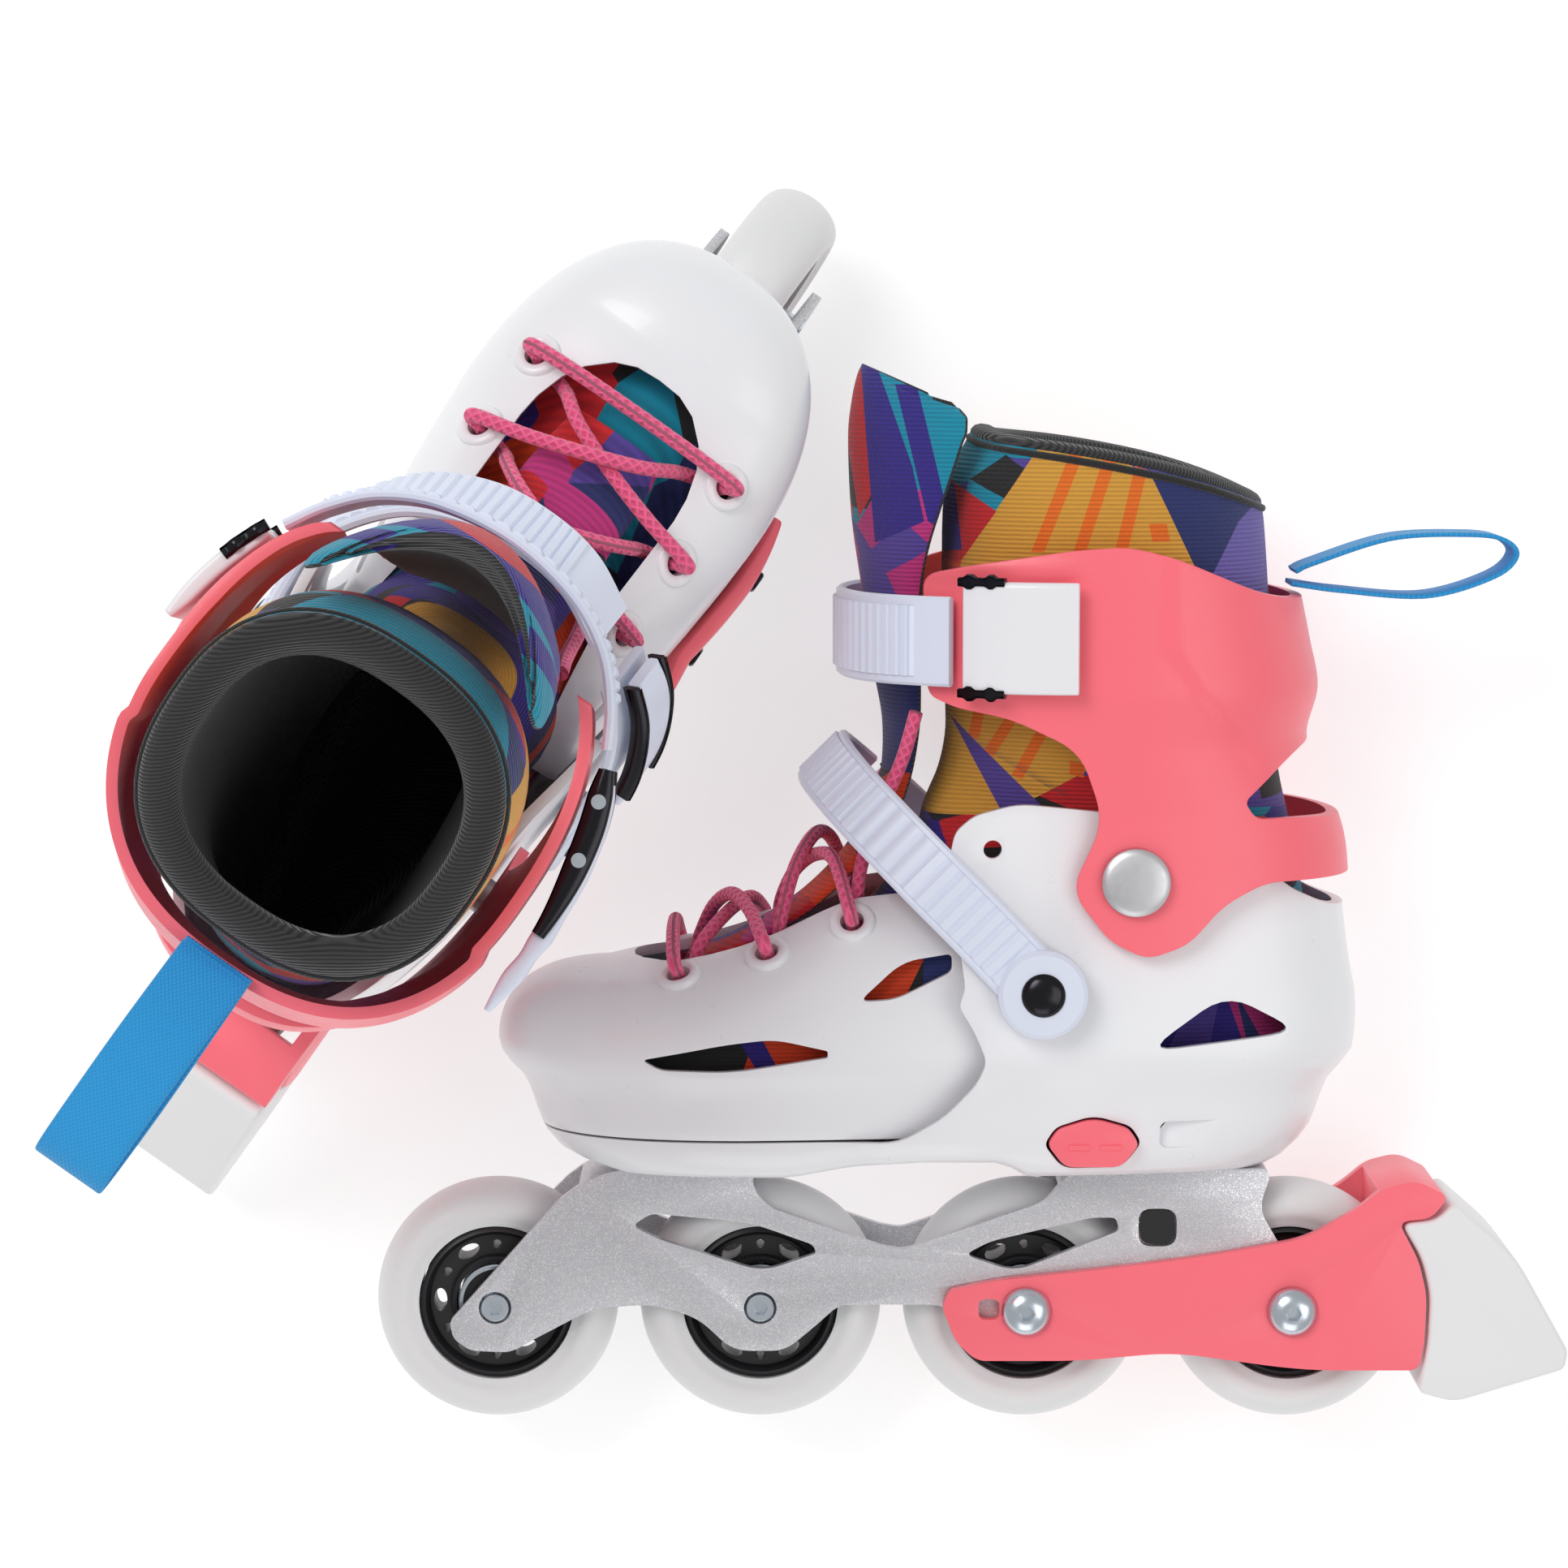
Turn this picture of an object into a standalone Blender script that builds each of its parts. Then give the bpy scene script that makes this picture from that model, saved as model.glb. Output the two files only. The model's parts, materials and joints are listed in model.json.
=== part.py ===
"""A pair of size-adjustable inline skates: one lies on its side, the other stands on its wheels.

Each skate is modelled in its own frame: x runs to the toe, y to the skater's left and z up
from the ground, with x = 0 midway between the two middle wheels.  The sizes below are in
millimetres, and every object is scaled to metres when it is made.
"""
import math

import bmesh
import bpy
from mathutils import Matrix, Vector

MM = 0.001

# ---- driving dimensions (mm) ----
WHEEL_RADIUS = 35.0
WHEEL_WIDTH = 24.0
WHEEL_PITCH = 76.3
HUB_RADIUS = 22.0
BEARING_RADIUS = 11.0
AXLE_RADIUS = 3.9
FIT_GAP = 0.4                # clearance between pieces that touch
WHEEL_SIDES = 16
PIN_SIDES = 12

FRAME_WIDTH = 36.0
FRAME_WALL = 3.0
DECK_TOP = 75.7              # the boot stands on the frame here
DECK_THICKNESS = 5.0

BRAKE_WALL = 4.0
PAD_WIDTH = 44.0
BOLT_HEAD_RADIUS = 7.1

SHELL_WALL = 3.0
CUFF_WALL = 3.0
LINER_WALL = 5.0
BALL_HALF_WIDTH = 47.0       # widest place of the toe shell
HEEL_HALF_WIDTH = 41.0
TOE_X = 113.7                # foremost point of the toe shell
HEEL_X = -133.5              # rearmost point of the base shell
LIP_Z = 88.0                 # lower edge of the toe shell
RIM_DROP = 2.2               # base shell's rim under that edge, which slides over it
NOSE_RIM_DROP = 3.4          # the same at the nose, where the wall leans out further
EYELET_HOLE = 3.4
LACE_RADIUS = 2.0

PIVOT = Vector((-67.0, 0.0, 162.0))      # ankle hinge
RIVET_HEAD_RADIUS = 9.7
RIVET_SHANK_RADIUS = 5.0
CUFF_CENTRE_X = -60.0

LADDER_WIDTH = 19.0
LADDER_THICKNESS = 3.0
CUFF_STRAP_WIDTH = 25.0
WEBBING_WIDTH = 20.0

# ---- placement of the two skates (mm) ----
LYING_TILT = 6.0             # degrees that the lying skate's cuff rises from the ground
LYING_PLACE = (21.7, -179.1, 42.5)
STANDING_HEADING = 55.0      # degrees from +X
STANDING_PLACE = (-86.3, 53.8, 0.0)

AXLE_XS = [WHEEL_PITCH * k for k in (1.5, 0.5, -0.5, -1.5)]
BORE_RADIUS = AXLE_RADIUS + FIT_GAP
EAR_HOLE_RADIUS = AXLE_RADIUS + 0.8
FRAME_HALF = FRAME_WIDTH / 2
BRAKE_INNER = FRAME_HALF + FIT_GAP
BRAKE_HALF = BRAKE_INNER + BRAKE_WALL
LENGTH_CENTRE_X = -10.0      # both shells grow and shrink about this station


# ---- small helpers ----
def linear(points, x):
    """Read a list of (x, value) points, in rising x, with straight lines between them."""
    if x <= points[0][0]:
        return points[0][1]
    for (x0, v0), (x1, v1) in zip(points, points[1:]):
        if x <= x1:
            return v0 + (v1 - v0) * (x - x0) / (x1 - x0)
    return points[-1][1]


def superellipse(t, power):
    return max(0.0, 1.0 - min(1.0, abs(t)) ** power) ** (1.0 / power)


def material(name, colour, roughness, metallic=0.0):
    made = bpy.data.materials.new(name)
    made.use_nodes = True
    shader = made.node_tree.nodes["Principled BSDF"]
    shader.inputs["Base Color"].default_value = (*colour, 1.0)
    shader.inputs["Roughness"].default_value = roughness
    shader.inputs["Metallic"].default_value = metallic
    return made


def smooth_curve(points, count):
    """Points along a Catmull-Rom curve through the given points."""
    pts = [Vector(p) for p in points]
    pts = [2 * pts[0] - pts[1]] + pts + [2 * pts[-1] - pts[-2]]
    spans = len(pts) - 3
    out = []
    for i in range(count):
        s = i / (count - 1) * spans
        k = min(int(s), spans - 1)
        t = s - k
        a, b, c, d = pts[k:k + 4]
        out.append(0.5 * ((2 * b) + (c - a) * t + (2 * a - 5 * b + 4 * c - d) * t * t
                          + (3 * b - a - 3 * c + d) * t ** 3))
    return out


def loft(rings, capped=True):
    """Join closed rings of points into one surface."""
    bm = bmesh.new()
    rows = [[bm.verts.new(Vector(p) * MM) for p in ring] for ring in rings]
    size = len(rows[0])
    for low, high in zip(rows, rows[1:]):
        for i in range(size):
            j = (i + 1) % size
            bm.faces.new((low[i], low[j], high[j], high[i]))
    if capped:
        bm.faces.new(rows[0][::-1])
        bm.faces.new(rows[-1])
    return finished(bm)


def sheet(rows, closed, bottom=False):
    """An open grid surface; each row is closed into a ring when asked.  A bottom joins the two
    sides of the first row, whose halves mirror each other, with a strip of faces."""
    bm = bmesh.new()
    grid = [[bm.verts.new(Vector(p) * MM) for p in row] for row in rows]
    size = len(grid[0])
    for low, high in zip(grid, grid[1:]):
        for i in range(size if closed else size - 1):
            j = (i + 1) % size
            bm.faces.new((low[i], low[j], high[j], high[i]))
    if bottom:
        ring = grid[0]
        for i in range(size // 2):
            corners = [ring[i], ring[i + 1], ring[-i - 1], ring[-i % size]]
            bm.faces.new(list(dict.fromkeys(corners)))
    return finished(bm)


def finished(bm):
    bmesh.ops.remove_doubles(bm, verts=bm.verts, dist=0.00002)
    bmesh.ops.dissolve_degenerate(bm, edges=bm.edges, dist=0.00001)
    bmesh.ops.recalc_face_normals(bm, faces=bm.faces)
    mesh = bpy.data.meshes.new("shape")
    bm.to_mesh(mesh)
    bm.free()
    return mesh


def ribbon_rings(path, across, width, thickness):
    """Rectangular sections along a path; across is the width direction, one or one a point."""
    rings = []
    for i, point in enumerate(path):
        tangent = (path[min(i + 1, len(path) - 1)] - path[max(i - 1, 0)]).normalized()
        wide = Vector(across[i]) if isinstance(across, list) else Vector(across)
        wide = (wide - tangent * wide.dot(tangent)).normalized()
        normal = tangent.cross(wide)
        thick = thickness[i] if isinstance(thickness, list) else thickness
        rings.append([point + wide * (a * width / 2) + normal * (b * thick / 2)
                      for a, b in ((-1, -1), (1, -1), (1, 1), (-1, 1))])
    return rings


def circle_points(x, z, radius, sides):
    step = 2 * math.pi / sides
    return [(x + radius * math.cos(k * step), z + radius * math.sin(k * step)) for k in range(sides)]


def shade(mesh, degrees=35):
    mesh.shade_smooth()
    mesh.set_sharp_from_angle(angle=math.radians(degrees))


class Skate:
    """Holds one skate's frame, its joint empties and the naming of its pieces."""

    def __init__(self, prefix, matrix, collection, cutters, looks):
        self.prefix = prefix
        self.collection = collection
        self.cutters = cutters
        self.looks = looks
        self.root = bpy.data.objects.new(prefix + "skate", None)
        collection.objects.link(self.root)
        self.root.matrix_world = matrix
        self.bodies = {"chassis": (self.root, Vector((0, 0, 0)))}

    def body(self, name, point):
        """An empty on the joint's axis, which the body's pieces hang from."""
        empty = bpy.data.objects.new(self.prefix + name + "_axis", None)
        self.collection.objects.link(empty)
        empty.parent = self.root
        empty.location = Vector(point) * MM
        self.bodies[name] = (empty, Vector(point))

    def attach(self, obj, body="chassis"):
        empty, point = self.bodies[body]
        obj.parent = empty
        obj.location -= point * MM
        return obj

    def add(self, name, mesh, look, body="chassis"):
        mesh.name = self.prefix + name
        obj = bpy.data.objects.new(self.prefix + name, mesh)
        self.collection.objects.link(obj)
        obj.data.materials.append(self.looks[look])
        shade(mesh)
        return self.attach(obj, body)

    def turned(self, name, profile, look, centre, body="chassis", sides=WHEEL_SIDES):
        """Turn a (radius, height) profile about the skate's y axis; a ring's is closed."""
        mesh = bpy.data.meshes.new(self.prefix + name)
        count = len(profile)
        solid = profile[0][0] == 0
        mesh.from_pydata([(r * MM, 0, h * MM) for r, h in profile],
                         [(k, (k + 1) % count) for k in range(count - 1 if solid else count)], [])
        obj = bpy.data.objects.new(self.prefix + name, mesh)
        self.collection.objects.link(obj)
        mesh.materials.append(self.looks[look])
        screw = obj.modifiers.new("turn", "SCREW")
        screw.axis = "Z"
        screw.steps = sides
        screw.render_steps = sides
        screw.use_merge_vertices = True
        screw.merge_threshold = 0.00002
        screw.use_smooth_shade = True
        obj.location = Vector(centre) * MM
        obj.rotation_euler = (-math.pi / 2, 0, 0)
        return self.attach(obj, body)

    def plate(self, outlines, low_y, high_y):
        """A flat outline in the side view (first outline is the edge, the rest are holes)."""
        curve = bpy.data.curves.new("outline", "CURVE")
        curve.dimensions = "2D"
        curve.fill_mode = "BOTH"
        curve.extrude = (high_y - low_y) / 2 * MM
        for points in outlines:
            spline = curve.splines.new("POLY")
            spline.points.add(len(points) - 1)
            for point, (x, z) in zip(spline.points, points):
                point.co = (x * MM, z * MM, 0, 1)
            spline.use_cyclic_u = True
        holder = bpy.data.objects.new("outline", curve)
        self.collection.objects.link(holder)
        bpy.context.view_layer.update()
        evaluated = holder.evaluated_get(bpy.context.evaluated_depsgraph_get())
        mesh = bpy.data.meshes.new_from_object(evaluated)
        bpy.data.objects.remove(holder)
        bpy.data.curves.remove(curve)
        mesh.transform(Matrix.Translation((0, (low_y + high_y) / 2 * MM, 0))
                       @ Matrix.Rotation(math.pi / 2, 4, "X"))
        bm = bmesh.new()
        bm.from_mesh(mesh)
        bmesh.ops.remove_doubles(bm, verts=bm.verts, dist=0.00001)
        bmesh.ops.recalc_face_normals(bm, faces=bm.faces)
        bm.to_mesh(mesh)
        bm.free()
        return mesh

    def cutter(self, name, mesh):
        obj = bpy.data.objects.new(self.prefix + "cut_" + name, mesh)
        self.cutters.objects.link(obj)
        obj.parent = self.root
        obj.hide_render = True
        obj.display_type = "WIRE"
        return obj

    def box(self, low, high):
        bm = bmesh.new()
        bmesh.ops.create_cube(bm, size=1.0)
        low, high = Vector(low), Vector(high)
        for vert in bm.verts:
            vert.co = Vector([(low[k] + (vert.co[k] + 0.5) * (high[k] - low[k])) * MM for k in range(3)])
        return finished(bm)

    def cylinder(self, start, end, radius, sides=PIN_SIDES):
        bm = bmesh.new()
        start, end = Vector(start), Vector(end)
        turn = Vector((0, 0, 1)).rotation_difference(end - start).to_matrix().to_4x4()
        place = Matrix.Translation((start + end) / 2 * MM) @ turn
        bmesh.ops.create_cone(bm, cap_ends=True, segments=sides, radius1=radius * MM, radius2=radius * MM,
                              depth=(end - start).length * MM, matrix=place)
        return finished(bm)


def combine(obj, cutter, operation):
    step = obj.modifiers.new(operation.lower(), "BOOLEAN")
    step.operation = operation
    step.solver = "EXACT"
    step.object = cutter


def solidify(obj, thickness, inward=True):
    step = obj.modifiers.new("wall", "SOLIDIFY")
    step.thickness = thickness * MM
    step.offset = -1.0 if inward else 1.0
    step.use_even_offset = True
    step.thickness_clamp = 0.0


# ---- the boot's shape, shared by its shells ----
GROWTH = [(74, 0.79), (78, 0.83), (84, 0.88), (88, 0.9), (101, 0.94), (108, 0.99), (114, 1.0), (125, 1.0),
          (135, 0.985), (153, 0.967), (185, 0.955)]


def toe_half_width(x):
    """Half the toe shell's width; round at the nose and slowly narrowing to the heel."""
    widest = 48.0
    if x > widest:
        return BALL_HALF_WIDTH * superellipse((x - widest) / (TOE_X - widest), 2.35)
    return BALL_HALF_WIDTH - 0.062 * (widest - x) - 0.0006 * (widest - x) ** 2


def base_half_width(x):
    """Half the base shell's width: the toe shell's in front, wider round it behind."""
    wings = linear([(-45, 43.8), (-20, 47.9), (0, 48.2), (20, toe_half_width(20) + 0.3)], x)
    if x > 20:
        return toe_half_width(x) + 0.3
    if x > -45:
        return wings
    t = (x + 45) / (HEEL_X + 45)
    shoulder = HEEL_HALF_WIDTH + (43.8 - HEEL_HALF_WIDTH) * max(0.0, 1 - 2.2 * t)
    return shoulder * superellipse(t, 2.5)


def grown(x, y, z):
    """Move a plan point of the widest outline to where it is at height z."""
    scale = linear(GROWTH, z)
    return Vector((LENGTH_CENTRE_X + (x - LENGTH_CENTRE_X) * scale, y * scale, z))


def plan_stations(front, back, count, extra=()):
    """Stations along one side, close together at both round ends."""
    middle, half = (front + back) / 2, (front - back) / 2
    stations = [middle + half * math.cos(math.pi * k / (count - 1)) for k in range(count)]
    return sorted(set(stations) | set(extra), reverse=True)


def base_rim(x):
    """Height of the base shell's upper edge along the side."""
    return linear([(-124, 151), (-112, 158), (-92, 176), (-58, 180.5), (-34, 183), (-23, 179), (-17, 170),
                   (-15, 150), (-13, 112), (-9, 95), (0, LIP_Z - RIM_DROP), (75, LIP_Z - RIM_DROP),
                   (105, LIP_Z - NOSE_RIM_DROP)], x)


def sole_height(x):
    """Height of the base shell's underside: flat on both frame decks, arched between them."""
    seat = DECK_TOP + FIT_GAP
    return linear([(-44, seat), (-34, seat + 4.5), (-8, seat + 5), (14, seat + 3.5), (38, seat), (96, seat),
                   (112, seat + 3)], x)


def boot_shell(skate):
    stations = plan_stations(TOE_X - 0.5, HEEL_X, 13, extra=(20, 0, -12, -17, -23))
    left = [(x, base_half_width(x)) for x in stations]
    loop = left + [(x, -w) for x, w in left[-2:0:-1]]
    flat_share = 0.9
    row = []
    for x, w in loop:
        edge = grown(x, w, sole_height(x))
        centre_x = min(max(edge.x, HEEL_X + 38), TOE_X - 38)
        row.append((centre_x + (edge.x - centre_x) * flat_share, edge.y * flat_share, sole_height(x)))
    rows = [row]
    for share in (0.0, 0.2, 0.45, 0.72, 1.0):
        row = []
        for x, w in loop:
            low = sole_height(x) + 2.5
            row.append(grown(x, w, low + (base_rim(x) - low) * share))
        rows.append(row)
    shell = skate.add("boot_shell", sheet(rows, closed=True, bottom=True), "shell")
    solidify(shell, SHELL_WALL)
    return shell


def toe_top(x):
    """Height of the toe shell along its middle line."""
    return linear([(-60, 168), (-10, 168), (14, 160), (36, 148), (62, 138.5), (76, 136), (95, 131), (106, 125),
                   (TOE_X, 118)], x)


SIDE_Z = 112.0               # height at which the toe shell is widest


def toe_surface(x, y, rise=0.0):
    """Point on the toe shell's upper surface, or a rise above it."""
    share = superellipse(y / toe_half_width(x), 2.3)
    return Vector((x, y, SIDE_Z + (toe_top(x) - SIDE_Z) * share + rise))


TOE_BACK_X = -32.0
THROAT = [(74.5, 0), (72, 12), (62, 22), (45, 25.5), (20, 25), (4, 26), (-6, 34), (-14, 60), (-60, 60)]


def toe_shell(skate):
    stations = [TOE_BACK_X + (TOE_X - 34 - TOE_BACK_X) * k / 4 for k in range(4, -1, -1)]
    nose = [TOE_X - 34 + 34 * math.sin(math.pi / 2 * k / 5) for k in range(5, 0, -1)]
    left = [(x, toe_half_width(x)) for x in nose + stations]
    loop = [(x, -w) for x, w in left[::-1]] + left[1:]
    rows = []
    for z in (LIP_Z, 98.0):
        rows.append([grown(x, w, z) for x, w in loop])
    for k in range(6):
        angle = math.pi / 2 * k / 5
        row = []
        for x, w in loop:
            spine_x = min(x, TOE_X - 32)
            plan = math.cos(angle) ** (2 / 2.3)
            lift = math.sin(angle) ** (2 / 2.3)
            top = toe_top(spine_x)
            row.append((spine_x + (x - spine_x) * plan, w * plan, SIDE_Z + (top - SIDE_Z) * lift))
        rows.append(row)
    shell = skate.add("toe_shell", sheet(rows, closed=False), "shell", "toe")
    solidify(shell, SHELL_WALL)
    outline = THROAT + [(x, -y) for x, y in THROAT[:0:-1]]
    prism = loft([[(x, y, z) for x, y in outline] for z in (120.0, 190.0)])
    combine(shell, skate.cutter("throat", prism), "DIFFERENCE")
    for number, (x, y) in enumerate(EYELETS):
        point = toe_surface(x, y)
        normal = eyelet_normal(x, y)
        hole = skate.cylinder(point - normal * 9, point + normal * 7, EYELET_HOLE, 8)
        combine(shell, skate.cutter(f"eyelet_{number}", hole), "DIFFERENCE")
    window = skate.cutter("toe_window", skate.plate([SIDE_WINDOW], -60, 60))
    combine(shell, window, "DIFFERENCE")
    return shell


EYELETS = [(x, y * side) for side in (1, -1) for x, y in ((61.0, 31.5), (36.0, 32.5), (12.0, 32.0))]
SIDE_WINDOW = [(71.5, 111.5), (66, 108.5), (46, 108), (19, 112), (19, 114), (34, 117.5), (48, 116)]


def eyelet_normal(x, y):
    along = toe_surface(x + 1, y) - toe_surface(x - 1, y)
    around = toe_surface(x, y + 1) - toe_surface(x, y - 1)
    normal = along.cross(around).normalized()
    return normal if normal.z > 0 else -normal


CUFF_BACK = [(134, -131), (161, -131), (176, -128.5), (190, -121), (200, -117), (214, -120), (228, -117.5),
             (240, -115), (262, -110)]
CUFF_HALF_WIDTH = [(134, 45.5), (162, 46.0), (180, 47.5), (200, 51), (215, 54.5), (262, 55)]
CUFF_FRONT_X = 8.0
CUFF_EDGE = [(-7.4, 247.5), (-20, 250.5), (-49, 255), (-64, 256), (-78, 252.5), (-106, 240.5), (-145, 238),
             (-145, 200), (-115.6, 200), (-97.5, 184), (-101, 179), (-116.6, 178.7), (-145, 175.6), (-145, 161),
             (-104, 161), (-92, 155), (-82, 144), (-70.5, 140), (-60, 145), (-49, 159), (-58, 179), (-51, 199),
             (-32, 208), (-16, 211), (-9, 214)]


def cuff_point(angle, z, grow=0.0):
    """Point on the cuff's outer face; the angle runs from the front (0) round the left side."""
    back = linear(CUFF_BACK, z)
    wide = linear(CUFF_HALF_WIDTH, z) + grow
    c, s = math.cos(angle), math.sin(angle)
    length = (CUFF_FRONT_X - CUFF_CENTRE_X if c > 0 else CUFF_CENTRE_X - back) + grow
    power = 2 / 2.4
    return Vector((CUFF_CENTRE_X + math.copysign(abs(c) ** power, c) * length,
                   math.copysign(abs(s) ** power, s) * wide, z))


def cuff(skate):
    angles = [math.radians(24 + 312 * k / 18) for k in range(19)]
    rows = [[cuff_point(a, z) for a in angles] for z in (134, 162, 180, 200, 214, 240, 262)]
    wall = skate.add("cuff", sheet(rows, closed=False), "coral", "cuff")
    solidify(wall, CUFF_WALL)
    prism = skate.plate([CUFF_EDGE], -70, 70)
    combine(wall, skate.cutter("cuff_outline", prism), "INTERSECT")
    return wall


def rivet_holes(skate, shell, wall):
    """Cut the ankle hinge's holes through the base shell and the cuff."""
    hole = skate.cylinder((PIVOT.x, -70, PIVOT.z), (PIVOT.x, 70, PIVOT.z), RIVET_SHANK_RADIUS + 0.6, 16)
    cutter = skate.cutter("ankle_hole", hole)
    combine(shell, cutter, "DIFFERENCE")
    combine(wall, cutter, "DIFFERENCE")


def cuff_rivet(skate, name, side):
    outer = linear(CUFF_HALF_WIDTH, PIVOT.z + RIVET_HEAD_RADIUS) + FIT_GAP
    inner = linear(CUFF_HALF_WIDTH, PIVOT.z) - 8.5
    profile = [(0, outer + 2.4), (RIVET_HEAD_RADIUS - 1.6, outer + 2.2), (RIVET_HEAD_RADIUS, outer + 1.2),
               (RIVET_HEAD_RADIUS, outer), (RIVET_SHANK_RADIUS, outer), (RIVET_SHANK_RADIUS, inner), (0, inner)]
    if side < 0:
        profile = [(r, -h) for r, h in profile[::-1]]
    skate.turned(name, profile, "satin", (PIVOT.x, 0, PIVOT.z), sides=PIN_SIDES)


# ---- liner, tongue and pull loop ----
LINER_SECTIONS = [  # front or upper point (x, z), sole or back point (x, z), half-width
    ((102.0, 113), (102.0, 99), 9.0),
    ((97.0, 117), (97.0, 92), 20.0),
    ((86.0, 121), (87.0, 88), 30.0),
    ((68.0, 124.5), (68.0, 86), 36.5),
    ((46.0, 130), (42.0, 86), 38.0),
    ((19.0, 140.5), (10.0, 86), 36.5),
    ((-3.0, 163), (-30.0, 87), 34.5),
    ((-9.0, 180), (-72.0, 83), 33.5),
    ((-13.0, 190), (-114.0, 95), 27.0),
    ((-15.0, 200), (-121.0, 130), 31.0),
    ((-15.0, 210), (-116.0, 165), 35.0),
    ((-15.0, 222), (-109.5, 197), 39.0),
    ((-14.0, 246), (-107.5, 236), 44.0),
    ((-15.0, 270), (-106.0, 258), 45.0),
    ((-24.0, 284), (-105.0, 267), 44.0),
]


def liner(skate):
    sides = 12
    rows = []
    for (front_x, front_z), (back_x, back_z), half_width in LINER_SECTIONS:
        front, back = Vector((front_x, 0, front_z)), Vector((back_x, 0, back_z))
        middle, reach = (front + back) / 2, (front - back) / 2
        power = 2 / 2.4
        row = []
        for k in range(sides):
            c, s = math.cos(2 * math.pi * k / sides), math.sin(2 * math.pi * k / sides)
            row.append(middle + reach * math.copysign(abs(c) ** power, c)
                       + Vector((0, 1, 0)) * half_width * math.copysign(abs(s) ** power, s))
        rows.append(row)
    mesh = sheet(rows, closed=True)
    bm = bmesh.new()
    bm.from_mesh(mesh)
    rim = [edge for edge in bm.edges if edge.is_boundary and edge.verts[0].co.x > 0.09]
    bmesh.ops.holes_fill(bm, edges=rim, sides=0)
    bmesh.ops.recalc_face_normals(bm, faces=bm.faces)
    bm.to_mesh(mesh)
    bm.free()
    boot = skate.add("liner", mesh, "knit")
    solidify(boot, LINER_WALL)


TONGUE = [  # outer face's middle (x, z), half-width, how far the sides wrap back, thickness
    ((56, 137.5), 14, 1.0, 3.0),
    ((44, 142.5), 16, 1.5, 3.0),
    ((26, 154.0), 17, 2.0, 3.5),
    ((12, 169.0), 18, 2.5, 4.0),
    ((4.5, 184.0), 19, 4.0, 5.0),
    ((3, 202.0), 21, 6.0, 6.0),
    ((6, 220.0), 24, 9.0, 7.0),
    ((9, 241.0), 28, 11.0, 8.0),
    ((12, 262.0), 31, 13.0, 8.0),
    ((13, 286.0), 33, 14.0, 8.0),
    ((10, 305.0), 31, 12.0, 6.0),
]


def tongue(skate):
    centres = [Vector((x, 0, z)) for (x, z), *_ in TONGUE]
    rings = []
    for k, ((_, _), half_width, wrap, thickness) in enumerate(TONGUE):
        run = (centres[min(k + 1, len(centres) - 1)] - centres[max(k - 1, 0)]).normalized()
        outward = Vector((run.z, 0, -run.x))
        outer = []
        inner = []
        for step in range(-3, 4):
            t = step / 3
            side = Vector((0, half_width * t, 0))
            outer.append(centres[k] + side - outward * wrap * t * t)
            inner.append(centres[k] + side * 0.96 - outward * (wrap * t * t + thickness * (1 - 0.25 * t * t)))
        rings.append(outer + inner[::-1])
    skate.add("tongue", loft(rings), "knit")


PULL_LOOP = [(-113.5, 0, 243.0), (-128, 0, 241), (-152, 0, 239.5), (-171, 0, 245), (-177.5, 0, 251),
             (-174, 0, 255.5), (-164, 0, 257), (-142, 0, 256), (-120, 0, 249), (-114.5, 0, 246.5)]


def pull_loop(skate):
    path = smooth_curve(PULL_LOOP, 20)
    skate.add("pull_loop", loft(ribbon_rings(path, (0, 1, 0), WEBBING_WIDTH, 1.3)), "webbing", "cuff")


# ---- straps and buckles ----
STRAP_ACROSS = (-0.71, 0.0, 0.70)
INSTEP_PATH = [(-41, 49.0, 131), (-25, 50.0, 148), (-8, 47.5, 165), (9.5, 33.5, 182), (18, 16.5, 190.5),
               (20, 0, 193), (18, -15.5, 190.5), (11, -29.5, 183.5)]
BUCKLE_PATH = [(-41, -49.0, 131), (-27, -50.5, 146), (-14, -50.0, 159), (-3, -45.5, 170), (4, -38.5, 177)]


def offset_path(path, across, distance):
    """Shift a path along its surface normal, away from the foot."""
    moved = []
    for i, point in enumerate(path):
        tangent = (path[min(i + 1, len(path) - 1)] - path[max(i - 1, 0)]).normalized()
        normal = tangent.cross(Vector(across)).normalized()
        if normal.dot(point - Vector((-50, 0, 140))) < 0:
            normal = -normal
        moved.append(point + normal * distance)
    return moved


def instep_strap(skate):
    path = smooth_curve(INSTEP_PATH, 18)
    strap = skate.add("instep_strap", loft(ribbon_rings(path, STRAP_ACROSS, LADDER_WIDTH, LADDER_THICKNESS)),
                      "strap")
    boss = skate.cylinder((-41, 46.9, 131), (-41, 53.5, 131), 12.5, 20)
    combine(strap, skate.cutter("strap_boss", boss), "UNION")


def instep_buckle(skate):
    path = smooth_curve(BUCKLE_PATH, 12)
    base = skate.add("instep_buckle", loft(ribbon_rings(path, STRAP_ACROSS, LADDER_WIDTH + 3, 3.0)), "strap")
    boss = skate.cylinder((-41, -53.0, 131), (-41, -46.9, 131), 12.0, 20)
    combine(base, skate.cutter("buckle_boss", boss), "UNION")


def instep_lever(skate):
    path = offset_path(smooth_curve(BUCKLE_PATH, 12), STRAP_ACROSS, 5.2)[4:]
    thickness = [2.5, 3.5, 5.0, 6.0, 6.0, 6.0, 5.0, 4.0]
    lifted = offset_path(path, STRAP_ACROSS, 1.0)
    skate.add("instep_lever", loft(ribbon_rings(lifted, STRAP_ACROSS, LADDER_WIDTH - 2, thickness)), "strap",
              "instep_lever")


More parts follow.
